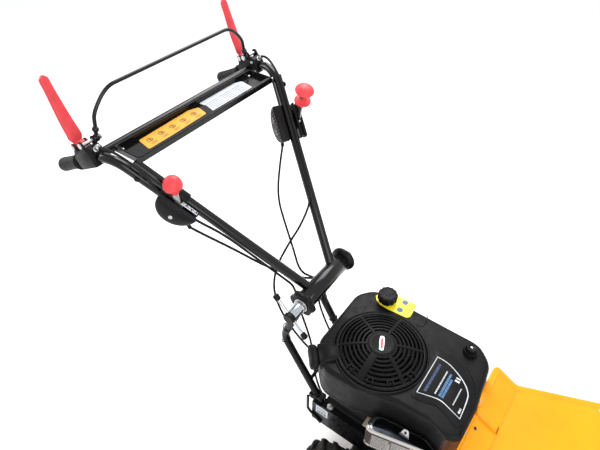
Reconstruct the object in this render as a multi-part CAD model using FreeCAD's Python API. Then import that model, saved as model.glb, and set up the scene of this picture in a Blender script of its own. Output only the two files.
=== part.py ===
import FreeCAD, Part
import math
import os
from FreeCAD import Placement, Rotation, Vector

# Walk-behind leaf blower, millimetres.
# +X is forward, +Y is the operator's left, +Z is up, and z = 0 is the ground.
# The sub-parts are drawn about the engine's crankshaft (x = y = 0) and moved
# at the end so that the origin lies under the middle of the whole machine.

# ---- driving dimensions -------------------------------------------------
ORIGIN_X = 55.58
ORIGIN_Y = -22.5

TYRE_R = 132.0
TYRE_WIDTH = 100.0
WHEEL_Y = 195.0
RIM_R = 52.0
AXLE_X = 28.0
AXLE_R = 10.0
FIT = 0.05

FRAME_REAR = -135.0
FRAME_FRONT = 254.0
FRAME_TOP = 300.0
FRAME_BOTTOM = 204.0
FRAME_HALF = 112.0
PLATE = 4.0

ENGINE_BASE = FRAME_TOP + PLATE
SHROUD_BOTTOM = 430.0
SHROUD_TOP = 548.0
SHROUD_WALL = 3.0
FAN_R = 118.0
FAN_TOP = 580.0
DOME_R = 280.0
CRANK_R = 12.7

HUB_X = -186.0
HUB_Z = 701.0
HUB_R = 20.0
HUB_HALF = 82.0
FLANGE_R = 30.0
FLANGE_WIDTH = 17.0
BOLT_R = 8.0
LEG_R = 11.0
LEG_Y = 91.0

TUBE_R = 12.0
GRIP_TUBE_R = 11.0
WALL = 1.8
TUBE_ROOT = Vector(HUB_X - 2, 43, HUB_Z)
TUBE_TOP = Vector(-511, 240, 1075)
GRIP_PEAK = Vector(-551, 265, 1090)
GRIP_END = Vector(-745, 269, 988)
CROSSBAR = Vector(-616, 0, 1057)

HOUSING_REAR = 258.0
HOUSING_FRONT = 735.0
HOUSING_TOP = 310.0
HOUSING_BOTTOM = 90.0
RAISED_TOP = 352.0
CREASE_X = 340.0
REAR_HALF = 283.0
FRONT_HALF = 380.0
SHEET = 2.0

IMPELLER_X = 500.0
IMPELLER_R = 140.0
SCROLL_START_R = 158.0
SCROLL_END_R = 212.0
SCROLL_BOTTOM = 99.0
SCROLL_TOP = 256.0
BELT_Z = 267.0
BELT_HEIGHT = 13.0
BELT_THICK = 8.0
CRANK_PULLEY_R = 45.0
DRIVEN_PULLEY_R = 60.0
GEAR_PULLEY_R = 30.0
GEAR_INPUT_X = -88.0
GEAR_INPUT_R = 40.0
GEAR_BELT_Z = 238.0

CASTER_X = 838.0
CASTER_Y = 290.0
CASTER_R = 62.5
CASTER_TRAIL = 32.0
CASTER_WIDTH = 40.0

# Engine details: plan of the cover, tank neck, primer, muffler guard and pull rope.
SHROUD_PLAN = [(-96, -131), (-150, -70), (-150, 130), (-112, 178), (208, 172), (250, 132),
               (266, 0), (265, -98), (238, -114), (200, -97), (110, -103), (60, -116), (0, -131)]
GUARD_PLAN = [(58, -168), (234, -126), (234, -117), (200, -101), (112, -107), (58, -121)]
GUARD_LOW = 376.0
GUARD_HIGH = 466.0
NECK_X, NECK_Y = -65.0, 152.0
PRIMER_X, PRIMER_Y = 192.0, 132.0
PLUG_Z = 376.0
PULL_LINE = Vector(-0.75, -0.66, 0.12)
PULL_POINT = Vector(-122, -100, 532)

# Blower details: belt idler, outlet flap and inlet.
IDLER_PIVOT = Vector(400, -128, 0)
IDLER_CENTRE = Vector(338, -98, 0)
IDLER_R = 24.0
IDLER_PIN_R = 6.0
DEFLECTOR_PIN = Vector(0, -391, 272)
DEFLECTOR_PIN_R = 4.0
INLET_R = 112.0
SHAFT_R = 10.0

# Hand controls: (distance up the tube, distance outboard of it), lean in degrees and reach.
THROTTLE = (408.0, 29.0)
THROTTLE_LEAN = 48.0
THROTTLE_REACH = 52.0
SHIFT = (404.0, 24.0)
SHIFT_LEAN = 24.0
SHIFT_REACH = 84.0
BOX_R = 48.0
BOX_PIN_R = 3.0
LEVER_PIN_R = 4.0
LEVER_LEAN = 19.0
LEVER_REACH = 148.0
BAIL_R = 3.0
GRIP_R = 17.0
GRIP_LENGTH = 98.0
CABLE_R = 3.0

X_AXIS = Vector(1, 0, 0)
Y_AXIS = Vector(0, 1, 0)
Z_AXIS = Vector(0, 0, 1)

nodes = {}


# ---- building blocks ----------------------------------------------------
def box(x, y, z):
    """A box from three (low, high) pairs."""
    size = [high - low for low, high in (x, y, z)]
    return Part.makeBox(*size, Vector(x[0], y[0], z[0]))


def cylinder(start, axis, radius, length):
    return Part.makeCylinder(radius, length, start, axis)


def ring(start, axis, outer, inner, length):
    hole = cylinder(start - axis * 1.0, axis, inner, length + 2.0)
    return cylinder(start, axis, outer, length).cut(hole)


def fuse(shapes):
    body = shapes[0].fuse(shapes[1:]) if len(shapes) > 1 else shapes[0]
    return body.removeSplitter()


def group(shapes):
    return Part.makeCompound(shapes)


def mirrored(shape):
    """The same piece on the other side of the machine's middle plane."""
    return shape.mirror(Vector(0, 0, 0), Y_AXIS)


def unit(vector):
    return Vector(vector).normalize()


def corner(before, here, after, radius):
    """Start, middle and end of the arc that rounds one corner."""
    back = unit(before - here)
    ahead = unit(after - here)
    half = back.getAngle(ahead) / 2.0
    bisector = unit(back + ahead)
    setback = radius / math.tan(half)
    centre = here + bisector * (radius / math.sin(half))
    return here + back * setback, centre - bisector * radius, here + ahead * setback


def widest_bend(before, here, after):
    """The largest bend radius that leaves a little straight run on both sides."""
    half = (before - here).getAngle(after - here) / 2.0
    return 0.45 * min((before - here).Length, (after - here).Length) * math.tan(half)


def path(points, radius=None):
    """Straight runs joined by tangent arcs; with no radius each arc is as wide as it can be."""
    edges = []
    last = points[0]
    for before, here, after in zip(points, points[1:], points[2:]):
        start, middle, end = corner(before, here, after, radius or widest_bend(before, here, after))
        edges.append(Part.LineSegment(last, start).toShape())
        edges.append(Part.Arc(start, middle, end).toShape())
        last = end
    edges.append(Part.LineSegment(last, points[-1]).toShape())
    return Part.Wire(edges)


def rod(points, radius, bend=None):
    """A round rod along a bent path."""
    wire = path(points, bend)
    profile = Part.Wire(Part.makeCircle(radius, points[0], points[1] - points[0]))
    return wire.makePipeShell([profile], True, False)


def tube(points, radius, bend, wall=WALL):
    return rod(points, radius, bend).cut(rod(points, radius - wall, bend))


def straight_tube(start, end, radius, wall=WALL):
    return ring(start, unit(end - start), radius, radius - wall, (end - start).Length)


def outline(points, radius, z):
    """A closed outline in plan with every corner rounded."""
    corners = [Vector(x, y, z) for x, y in points]
    count = len(corners)
    edges = []
    arcs = [corner(corners[i - 1], corners[i], corners[(i + 1) % count], radius) for i in range(count)]
    for index, (start, middle, end) in enumerate(arcs):
        edges.append(Part.Arc(start, middle, end).toShape())
        edges.append(Part.LineSegment(end, arcs[(index + 1) % count][0]).toShape())
    return Part.Wire(edges)


def prism(wire, height):
    return Part.Face(wire).extrude(Vector(0, 0, height))


def side_prism(points, y, width):
    """A flat piece drawn from the side as (x, z) points and extruded along Y."""
    corners = [Vector(x, y, z) for x, z in points]
    return Part.Face(Part.makePolygon(corners + corners[:1])).extrude(Vector(0, width, 0))


def filleted(shape, radius, wanted=lambda edge: True):
    return shape.makeFillet(radius, [edge for edge in shape.Edges if wanted(edge)])


def both_sides(shape):
    return group([shape, mirrored(shape)])


# ---- wheels and drive ---------------------------------------------------
def tyre_section(half_width, reach, shoulder, bead):
    """Half-round-shouldered section from the bead outwards, as (radius, y) points."""
    return [Vector(bead, -half_width + 18, 0), Vector(reach - 50, -half_width, 0),
            Vector(reach - shoulder, -half_width, 0), Vector(reach, -half_width + shoulder, 0),
            Vector(reach, half_width - shoulder, 0), Vector(reach - shoulder, half_width, 0),
            Vector(reach - 50, half_width, 0), Vector(bead, half_width - 18, 0)]


def tyre(y):
    """Carcass with an air space that is open towards the rim."""
    wall = 11.0
    half = TYRE_WIDTH / 2
    solids = []
    for section in (tyre_section(half, TYRE_R, 26, RIM_R),
                    tyre_section(half - wall, TYRE_R - 15, 22, RIM_R - 1)):
        face = Part.Face(Part.makePolygon(section + section[:1]))
        solids.append(face.revolve(Vector(0, 0, 0), Y_AXIS, 360))
    carcass = solids[0].cut(solids[1])
    carcass.translate(Vector(AXLE_X, y, TYRE_R))
    return carcass


def rim(y, outward):
    centre = Vector(AXLE_X, y, TYRE_R)
    barrel = ring(centre - Y_AXIS * 44, Y_AXIS, RIM_R, RIM_R - 4, 88)
    disc = ring(centre + Y_AXIS * (outward * 10 - 3), Y_AXIS, RIM_R - 3, AXLE_R, 6)
    hub = ring(centre - Y_AXIS * 35, Y_AXIS, 22, AXLE_R, 70)
    holes = []
    for index in range(4):
        angle = math.radians(45 + 90 * index)
        spot = centre + Vector(34 * math.cos(angle), outward * 10 - 6, 34 * math.sin(angle))
        holes.append(cylinder(spot, Y_AXIS, 6, 12))
    return fuse([barrel, disc, hub]).cut(group(holes))


def axle(outward):
    inner = 6.0
    length = WHEEL_Y + 42 - inner
    start = Vector(AXLE_X, outward * inner, TYRE_R)
    shaft = cylinder(start, Y_AXIS * outward, AXLE_R, length)
    nut = cylinder(start + Y_AXIS * outward * (length - 6), Y_AXIS * outward, 15, 8)
    return fuse([shaft, nut])


def gearbox():
    body = filleted(box((-122, 66), (-64, 64), (96, 226)), 12)
    sleeves = cylinder(Vector(AXLE_X, -108, TYRE_R), Y_AXIS, 26, 216)
    boss = cylinder(Vector(GEAR_INPUT_X, 0, 220), Z_AXIS, 20, 14)
    bore = cylinder(Vector(AXLE_X, -110, TYRE_R), Y_AXIS, AXLE_R + FIT, 220)
    shaft_hole = cylinder(Vector(GEAR_INPUT_X, 0, 190), Z_AXIS, AXLE_R + FIT, 60)
    return fuse([body, sleeves, boss]).cut(bore).cut(shaft_hole)


def gearbox_brackets():
    upright = box((-100, 14), (64, 68), (185, FRAME_TOP - PLATE))
    ledge = box((-100, 14), (64, 108), (FRAME_TOP - 2 * PLATE, FRAME_TOP - PLATE))
    return both_sides(fuse([upright, ledge]))


def pulley(x, z, radius, bore):
    """A flat-bottomed belt pulley with two flanges."""
    start = Vector(x, 0, z - 3)
    core = ring(start, Z_AXIS, radius, bore, BELT_HEIGHT + 6)
    flange = 2.0
    low = ring(start, Z_AXIS, radius + BELT_THICK - 2, bore, flange)
    high = ring(start + Z_AXIS * (BELT_HEIGHT + 4), Z_AXIS, radius + BELT_THICK - 2, bore, flange)
    return fuse([core, low, high])


def belt_outline(x0, r0, x1, r1, z):
    """Open-belt outline round two circles on the middle plane, small circle first."""
    lean = math.asin((r1 - r0) / (x1 - x0))
    up = Vector(-math.sin(lean), math.cos(lean), 0)
    down = Vector(up.x, -up.y, 0)
    near, far = Vector(x0, 0, z), Vector(x1, 0, z)
    return Part.Wire([
        Part.LineSegment(near + up * r0, far + up * r1).toShape(),
        Part.Arc(far + up * r1, far + X_AXIS * r1, far + down * r1).toShape(),
        Part.LineSegment(far + down * r1, near + down * r0).toShape(),
        Part.Arc(near + down * r0, near - X_AXIS * r0, near + up * r0).toShape()])


def belt(x0, r0, x1, r1, z):
    gap = 0.3
    outer = prism(belt_outline(x0, r0 + gap + BELT_THICK, x1, r1 + gap + BELT_THICK, z), BELT_HEIGHT)
    inner = prism(belt_outline(x0, r0 + gap, x1, r1 + gap, z - 1), BELT_HEIGHT + 2)
    return outer.cut(inner)


def build_drive():
    for name, outward in (("right", -1), ("left", 1)):
        nodes["tyre_" + name] = tyre(outward * WHEEL_Y)
        nodes["rim_" + name] = group([rim(outward * WHEEL_Y, outward), axle(outward)])
    nodes["gearbox"] = gearbox()
    nodes["gearbox_shaft"] = fuse([
        cylinder(Vector(GEAR_INPUT_X, 0, 192), Z_AXIS, AXLE_R, 68),
        pulley(GEAR_INPUT_X, GEAR_BELT_Z, GEAR_INPUT_R, AXLE_R - 1)])
    nodes["belts"] = group([belt(GEAR_INPUT_X, GEAR_INPUT_R, 0, GEAR_PULLEY_R, GEAR_BELT_Z),
                            belt(0, CRANK_PULLEY_R, IMPELLER_X, DRIVEN_PULLEY_R, BELT_Z)])


# ---- frame --------------------------------------------------------------
def side_plate():
    """A pressed channel: an upright web with its flanges turned inwards."""
    lip = 24.0
    outer = FRAME_HALF
    x = (FRAME_REAR, FRAME_FRONT)
    web = box(x, (outer - PLATE, outer), (FRAME_BOTTOM, FRAME_TOP))
    high = box(x, (outer - lip, outer), (FRAME_TOP - PLATE, FRAME_TOP))
    low = box(x, (outer - lip, outer), (FRAME_BOTTOM, FRAME_BOTTOM + PLATE))
    return fuse([web, high, low])


def engine_plate():
    plate = box((-104, 236), (-FRAME_HALF, FRAME_HALF), (FRAME_TOP, ENGINE_BASE))
    return plate.cut(cylinder(Vector(0, 0, FRAME_TOP - 5), Z_AXIS, 34, 20))


def yoke_leg():
    foot_top = Vector(-133, LEG_Y, FRAME_TOP + 14)
    knee = Vector(-250, LEG_Y, 513)
    pivot = Vector(HUB_X, LEG_Y, HUB_Z)
    top = pivot + unit(knee - pivot) * (FLANGE_R - 2)
    leg = tube([foot_top, knee, top], LEG_R, 70)
    foot = box((-152, -108), (LEG_Y - 12, LEG_Y + 14), (FRAME_TOP, FRAME_TOP + 18))
    return fuse([leg, foot])


def pivot_cup(lobes):
    """The clamping cup at the end of the pivot tube; its rim is lobed or plain."""
    start = Vector(HUB_X, HUB_HALF + 0.5, HUB_Z)
    body = cylinder(start, Y_AXIS, FLANGE_R - 2, FLANGE_WIDTH)
    pieces = [body]
    for index in range(lobes):
        angle = 2 * math.pi * index / lobes
        spot = start + Vector(math.cos(angle), 0, math.sin(angle)) * (FLANGE_R - 9)
        pieces.append(cylinder(spot, Y_AXIS, 12, FLANGE_WIDTH))
    if not lobes:
        dome = Part.makeCone(FLANGE_R - 2, 18, 10, start + Y_AXIS * FLANGE_WIDTH, Y_AXIS)
        pieces.append(dome)
    bore = cylinder(start - Y_AXIS, Y_AXIS, BOLT_R, FLANGE_WIDTH + 20)
    return fuse(pieces).cut(bore)


def pivot_bolt():
    start = Vector(HUB_X, -126, HUB_Z)
    shank = cylinder(start, Y_AXIS, BOLT_R, 240)
    head = cylinder(Vector(HUB_X, 110, HUB_Z), Y_AXIS, 13, 9)
    washer = cylinder(Vector(HUB_X, -101.7, HUB_Z), Y_AXIS, 19, 2)
    return fuse([shank, head, washer])


def guard_rod():
    y = FRAME_HALF + 4
    return both_sides(rod([Vector(-100, y, 214), Vector(-148, y, 250), Vector(-148, y, 322)], 4, 18))


def frame_bolts():
    heads = []
    for x in (-80, 90, 220):
        spot = Vector(x, 98, ENGINE_BASE)
        heads.append(cylinder(spot, Z_AXIS, 7, 6))
    return group(heads + [mirrored(head) for head in heads])


def build_frame():
    nodes["side_plates"] = both_sides(side_plate())
    nodes["mounting_plates"] = group([engine_plate(), gearbox_brackets()])
    nodes["yoke_legs"] = both_sides(yoke_leg())
    crossrod = cylinder(Vector(-161, -LEG_Y + 9, 362), Y_AXIS, 5, 2 * LEG_Y - 18)
    nodes["frame_rods"] = group([crossrod, guard_rod()])
    nodes["pivot_cups"] = group([pivot_cup(0), mirrored(pivot_cup(6))])
    nodes["frame_bolts"] = group([pivot_bolt(), frame_bolts()])


# ---- engine -------------------------------------------------------------
def engine_block():
    flange = prism(outline([(-98, -92), (104, -92), (104, 92), (-98, 92)], 18, ENGINE_BASE), 12)
    case = prism(outline([(-86, -82), (92, -82), (92, 82), (-86, 82)], 24, ENGINE_BASE), 136)
    boss = cylinder(Vector(0, 0, 436), Z_AXIS, 42, 50)
    seal = cylinder(Vector(0, 0, FRAME_TOP - 6), Z_AXIS, 28, 12)
    bore = cylinder(Vector(0, 0, 280), Z_AXIS, CRANK_R + FIT, 240)
    return fuse([flange, case, boss, seal]).cut(bore)


def cylinder_fins():
    core = box((92, 208), (-44, 44), (336, 420))
    fins = [box((x, x + 3), (-66, 66), (318, 426)) for x in range(100, 200, 12)]
    head = box((205, 222), (-52, 52), (326, 424))
    return fuse([core, head] + fins)


def engine_shroud():
    """Hollow cover, open below, with the round fan opening and the tank's neck hole."""
    height = SHROUD_TOP - SHROUD_BOTTOM
    outer = prism(outline(SHROUD_PLAN, 20, SHROUD_BOTTOM), height)
    outer = filleted(outer, 9, lambda edge: edge.BoundBox.ZMin > SHROUD_TOP - 1)
    inset = outline(SHROUD_PLAN, 20, SHROUD_BOTTOM - 1).makeOffset2D(-SHROUD_WALL)
    inner = prism(inset, height - SHROUD_WALL + 1)
    collar = ring(Vector(0, 0, SHROUD_TOP - 2), Z_AXIS, FAN_R + 7, FAN_R + 1, 8)
    fan_hole = cylinder(Vector(0, 0, SHROUD_TOP - 20), Z_AXIS, FAN_R + 1, 40)
    neck_hole = cylinder(Vector(NECK_X, NECK_Y, SHROUD_TOP - 20), Z_AXIS, 24, 40)
    button_seat = ring(Vector(PRIMER_X, PRIMER_Y, SHROUD_TOP), Z_AXIS, 18, 14.5, 12)
    return fuse([outer.cut(inner), collar, button_seat]).cut(fan_hole).cut(neck_hole)


def fan_grille():
    """Domed grille of arc slots round a plain hub, on a shallow skirt."""
    centre = Vector(0, 0, FAN_TOP - DOME_R)
    dome = Part.makeSphere(DOME_R, centre).cut(Part.makeSphere(DOME_R - 4, centre))
    dome = dome.common(cylinder(Vector(0, 0, SHROUD_TOP - 8), Z_AXIS, FAN_R, 60))
    rim_z = FAN_TOP - DOME_R + math.sqrt(DOME_R ** 2 - FAN_R ** 2)
    skirt = ring(Vector(0, 0, SHROUD_TOP - 8), Z_AXIS, FAN_R, FAN_R - 4, rim_z - SHROUD_TOP + 8)
    slots = group([ring(Vector(0, 0, SHROUD_TOP - 8), Z_AXIS, inner + 6, inner, 60)
                   for inner in range(30, 108, 11)])
    for index, width in enumerate((8, 8, 8, 8, 20, 11)):
        spoke = box((10, FAN_R), (-width / 2, width / 2), (SHROUD_TOP - 10, FAN_TOP + 10))
        spoke.rotate(Vector(0, 0, 0), Z_AXIS, 30 + 60 * index)
        slots = slots.cut(spoke)
    return fuse([dome, skirt]).cut(slots)


def fuel_tank():
    tank = prism(outline([(-128, 141), (-104, 167), (28, 167), (28, 134), (-128, 134)], 3, 440), 96)
    neck = cylinder(Vector(NECK_X, NECK_Y, 530), Z_AXIS, 18, 40)
    return fuse([tank, neck])


def fuel_cap():
    start = Vector(NECK_X, NECK_Y, 562)
    body = cylinder(start, Z_AXIS, 27, 23)
    ribs = []
    for index in range(18):
        rib = box((26, 28.5), (-2, 2), (562, 583))
        rib.rotate(Vector(0, 0, 0), Z_AXIS, 20 * index)
        rib.translate(Vector(NECK_X, NECK_Y, 0))
        ribs.append(rib)
    hollow = cylinder(start - Z_AXIS, Z_AXIS, 19.5, 14)
    return fuse([body] + ribs).cut(hollow)


def cap_tag():
    start = Vector(NECK_X, NECK_Y, SHROUD_TOP + 0.5)
    disc = cylinder(start, Z_AXIS, 34, 2)
    wedge = prism(outline([(-75, 118), (-64, 184), (10, 166), (6, 128)], 5, SHROUD_TOP + 0.5), 2)
    hole = cylinder(start - Z_AXIS, Z_AXIS, 18.5, 6)
    return fuse([disc, wedge]).cut(hole)


def guard_plan(inset, z):
    """Plan of the muffler guard, which lies along the engine's slanting right-hand side."""
    edge = outline(GUARD_PLAN, 5, z)
    return edge.makeOffset2D(-inset) if inset else edge


def muffler():
    body = prism(guard_plan(8, 386), 62)
    pipe = cylinder(Vector(150, -126, 400), Y_AXIS, 13, 62)
    return fuse([body, pipe])


def muffler_guard():
    """Pressed cover with rows of louvre slots along its outer face and a holed tab."""
    height = GUARD_HIGH - GUARD_LOW
    outer = filleted(prism(guard_plan(0, GUARD_LOW), height), 6,
                     lambda edge: edge.BoundBox.ZMin > GUARD_HIGH - 1)
    inner = prism(guard_plan(SHEET, GUARD_LOW + SHEET), height - 2 * SHEET)
    corner_x, corner_y = GUARD_PLAN[0]
    face_x, face_y = GUARD_PLAN[1]
    lean = math.degrees(math.atan2(face_y - corner_y, face_x - corner_x))
    slots = []
    for row in range(7):
        for column in range(3):
            slot = box((12 + 54 * column, 58 + 54 * column), (-10, 12), (390 + 9 * row, 394 + 9 * row))
            slot.rotate(Vector(0, 0, 0), Z_AXIS, lean)
            slot.translate(Vector(corner_x, corner_y, 0))
            slots.append(slot)
    tab = box((136, 160), (-128, -126), (464, 486))
    hole = cylinder(Vector(148, -132, 478), Y_AXIS, 3, 12)
    return fuse([outer.cut(inner).cut(group(slots)), tab]).cut(hole)


def guard_bracket():
    strip = box((43, 57.7), (-145, -82), (424, 427))
    drop = box((43, 57.7), (-85, -82), (396, 427))
    tail = box((54.7, 57.7), (-145, -125), (398, 427))
    return fuse([strip, drop, tail])


def spark_plug():
    hex_body = cylinder(Vector(222, 10, PLUG_Z), X_AXIS, 9, 8)
    boot = cylinder(Vector(230, 10, PLUG_Z), X_AXIS, 11, 18)
    return fuse([hex_body, boot])


def carburettor():
    body = box((128, 176), (70, 112), (350, 404))
    horn = cylinder(Vector(152, 110, 380), Y_AXIS, 20, 18)
    stub = cylinder(Vector(152, 62, 380), Y_AXIS, 14, 12)
    return fuse([body, horn, stub])


def air_filter():
    """Filter box hanging below the cover's front left lobe."""
    return filleted(box((118, 240), (128, 166), (352, SHROUD_BOTTOM - 1)), 8,
                    lambda edge: edge.BoundBox.ZLength > 60)


def oil_filler():
    return fuse([cylinder(Vector(20, 76, 334), unit(Vector(0, 1, 0.6)), 13, 42),
                 cylinder(Vector(20, 108, 353), unit(Vector(0, 1, 0.6)), 18, 14)])


def starter_guide():
    """Rope outlet in the cover's wall."""
    outwards = unit(PULL_LINE)
    return cylinder(PULL_POINT - outwards * 3, outwards, 13, 8)


def starter_grip():
    """T-shaped pull handle docked against the rope outlet."""
    outwards = unit(PULL_LINE)
    across = unit(outwards.cross(Z_AXIS))
    start = PULL_POINT + outwards * 5.5
    stem = cylinder(start, outwards, 8, 10)
    bar = cylinder(start + outwards * 14 - across * 34, across, 11, 68)
    return fuse([stem, bar])


def flywheel_fan():
    blades = [box((50, 96), (-2, 2), (506, 528)) for _ in range(12)]
    for index, blade in enumerate(blades):
        blade.rotate(Vector(0, 0, 0), Z_AXIS, 30 * index)
    return fuse([ring(Vector(0, 0, 494), Z_AXIS, 98, CRANK_R, 13)] + blades)


def build_engine():
    nodes["engine_block"] = group([engine_block(), oil_filler()])
    nodes["cylinder_head"] = group([cylinder_fins(), spark_plug()])
    nodes["engine_shroud"] = fuse([engine_shroud(), starter_guide()])
    nodes["fan_grille"] = fan_grille()
    nodes["fuel_tank"] = fuel_tank()
    nodes["fuel_cap"] = fuel_cap()
    nodes["cap_tag"] = cap_tag()
    nodes["muffler"] = group([muffler(), guard_bracket()])
    nodes["muffler_guard"] = muffler_guard()
    nodes["air_intake"] = group([carburettor(), air_filter()])
    nodes["starter_grip"] = starter_grip()
    nodes["primer_button"] = cylinder(Vector(PRIMER_X, PRIMER_Y, SHROUD_TOP + 6), Z_AXIS, 14, 12)
    shaft = cylinder(Vector(0, 0, 230), Z_AXIS, CRANK_R, 300)
    crankshaft = fuse([shaft, pulley(0, BELT_Z, CRANK_PULLEY_R, CRANK_R - 1),
                       pulley(0, GEAR_BELT_Z, GEAR_PULLEY_R, CRANK_R - 1)])
    nodes["crankshaft"] = group([crankshaft, flywheel_fan()])


# ---- blower housing -----------------------------------------------------
def housing_plan(inset, z):
    rear = HOUSING_REAR + inset
    front = HOUSING_FRONT - inset
    side = REAR_HALF - inset
    wide = FRONT_HALF - inset
    points = [(rear, -side), (330, -side), (575, -wide), (front, -wide),
              (front, wide), (575, wide), (330, side), (rear, side)]
    return outline(points, 22 - inset, z)


def housing_volume(inset):
    """Housing envelope: a flat top with the rear end ramped up towards the engine."""
    floor = HOUSING_BOTTOM - 10 if inset else HOUSING_BOTTOM
    block = prism(housing_plan(inset, floor), RAISED_TOP + 20 - floor)
    flat = HOUSING_TOP - inset
    high = RAISED_TOP - inset
    rear = HOUSING_REAR - 20
    above = side_prism([(rear, high), (HOUSING_REAR + 8, high), (CREASE_X, flat), (900, flat),
                        (900, 900), (rear, 900)], -500, 1000)
    return block.cut(above)


def outlet_gap():
    """The outlet's opening through the right-hand wall."""
    return box((IMPELLER_X + 123, IMPELLER_X + SCROLL_END_R), (-400, -370),
               (SCROLL_BOTTOM + 3, SCROLL_TOP - SHEET))


def housing_shell():
    shell = housing_volume(0).cut(housing_volume(SHEET))
    inlet = cylinder(Vector(IMPELLER_X, 0, 300), Z_AXIS, INLET_R, 40)
    belt_slot = box((HOUSING_REAR - 10, HOUSING_REAR + 20), (-80, 80), (255, 300))
    return shell.cut(inlet).cut(belt_slot).cut(outlet_gap())


def scroll_space(extra, low, high, outlet_y):
    """Volute: four arcs of growing radius closed by a chord, and the straight outlet duct."""
    first, last = -38.0, -360.0
    growth = (SCROLL_END_R - SCROLL_START_R) / (first - last)

    def spot(angle):
        radius = SCROLL_START_R + growth * (first - angle) + extra
        turn = math.radians(angle)
        return Vector(IMPELLER_X + radius * math.cos(turn), radius * math.sin(turn), low)

    stops = [first, -90.0, -180.0, -270.0, last]
    edges = [Part.Arc(spot(a), spot((a + b) / 2), spot(b)).toShape() for a, b in zip(stops, stops[1:])]
    edges.append(Part.LineSegment(spot(last), spot(first)).toShape())
    duct = box((spot(first).x - 2 * extra, spot(last).x), (outlet_y, 0), (low, high))
    return fuse([prism(Part.Wire(edges), high - low), duct])


def scroll():
    outer = scroll_space(SHEET, SCROLL_BOTTOM, SCROLL_TOP, -376.5)
    inner = scroll_space(0, SCROLL_BOTTOM - 1, SCROLL_TOP - SHEET, -400)
    eye = cylinder(Vector(IMPELLER_X, 0, SCROLL_TOP - 20), Z_AXIS, 100, 40)
    return outer.cut(inner).cut(eye)


def bottom_plate():
    plate = prism(housing_plan(SHEET + 0.3, SCROLL_BOTTOM - 3), 3)
    return plate.cut(cylinder(Vector(IMPELLER_X, 0, 80), Z_AXIS, SHAFT_R + FIT, 40))


def bearing_bridge():
    """Cross strap that carries the upper bearing over the scroll's eye."""
    strap = box((IMPELLER_X - 16, IMPELLER_X + 16), (-118, 118), (SCROLL_TOP, SCROLL_TOP + 4))
    seat = cylinder(Vector(IMPELLER_X, 0, SCROLL_TOP - 12), Z_AXIS, 22, 16)
    bore = cylinder(Vector(IMPELLER_X, 0, 200), Z_AXIS, SHAFT_R + FIT, 100)
    return fuse([strap, seat]).cut(bore)


def inlet_guard():
    """Round wire-style guard over the air inlet, standing on the housing's flat top."""
    z = HOUSING_TOP
    centre = Vector(IMPELLER_X, 0, z)
    pieces = [ring(centre, Z_AXIS, INLET_R + 16, INLET_R - 4, 4)]
    for radius in range(22, 110, 17):
        pieces.append(ring(centre, Z_AXIS, radius + 4, radius, 6))
    for index in range(4):
        bar = box((-124, 124), (-3, 3), (z, z + 4))
        bar.rotate(Vector(0, 0, 0), Z_AXIS, 22.5 + 45 * index)
        bar.translate(Vector(IMPELLER_X, 0, 0))
        pieces.append(bar)
    return fuse(pieces)


def impeller():
    plate = ring(Vector(IMPELLER_X, 0, 112), Z_AXIS, IMPELLER_R, SHAFT_R, 4)
    hub = ring(Vector(IMPELLER_X, 0, 112), Z_AXIS, 26, SHAFT_R, 60)
    blades = []
    for index in range(8):
        blade = box((24, IMPELLER_R), (-2, 2), (114, 222))
        notch = box((20, 78), (-5, 5), (176, 240))
        blade = blade.cut(notch)
        blade.rotate(Vector(0, 0, 0), Z_AXIS, 45 * index)
        blade.translate(Vector(IMPELLER_X, 0, 0))
        blades.append(blade)
    return fuse([plate, hub] + blades)


def impeller_shaft():
    shaft = cylinder(Vector(IMPELLER_X, 0, 96), Z_AXIS, SHAFT_R, 192)
    return fuse([shaft, pulley(IMPELLER_X, BELT_Z, DRIVEN_PULLEY_R, SHAFT_R - 1)])


def idler_arm():
    z = BELT_Z + BELT_HEIGHT + 6
    start = Vector(IDLER_PIVOT.x, IDLER_PIVOT.y, z)
    end = Vector(IDLER_CENTRE.x, IDLER_CENTRE.y, z)
    along = unit(end - start)
    bar = Part.makeBox((end - start).Length, 20, 5)
    bar.Placement = Placement(start - Z_AXIS.cross(along) * 10, Rotation(X_AXIS, along))
    eye = cylinder(start, Z_AXIS, 13, 5)
    tip = cylinder(end, Z_AXIS, 10, 5)
    stub = cylinder(Vector(IDLER_CENTRE.x, IDLER_CENTRE.y, BELT_Z - 2), Z_AXIS, IDLER_PIN_R, z - BELT_Z + 4)
    bore = cylinder(start - Z_AXIS * 5, Z_AXIS, IDLER_PIN_R + FIT, 20)
    return fuse([bar, eye, tip, stub]).cut(bore)


def idler_pulley():
    start = Vector(IDLER_CENTRE.x, IDLER_CENTRE.y, BELT_Z - 1)
    return ring(start, Z_AXIS, IDLER_R, IDLER_PIN_R + FIT, BELT_HEIGHT + 2)


def idler_pin():
    foot = Vector(IDLER_PIVOT.x, IDLER_PIVOT.y, SCROLL_TOP)
    pin = cylinder(foot, Z_AXIS, IDLER_PIN_R, HOUSING_TOP - SHEET - SCROLL_TOP)
    collar = cylinder(foot, Z_AXIS, 11, 29)
    return fuse([pin, collar])


def deflector():
    """Flap hinged over the outlet that turns the air stream downwards."""
    x = (IMPELLER_X + 112, IMPELLER_X + 223)
    pin_y, pin_z = DEFLECTOR_PIN.y, DEFLECTOR_PIN.z
    flap = side_flap(x)
    knuckle = cylinder(Vector(x[0], pin_y, pin_z), X_AXIS, 7, x[1] - x[0])
    bore = cylinder(Vector(x[0] - 5, pin_y, pin_z), X_AXIS, DEFLECTOR_PIN_R + FIT, x[1] - x[0] + 10)
    return fuse([flap, knuckle]).cut(bore)


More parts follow.
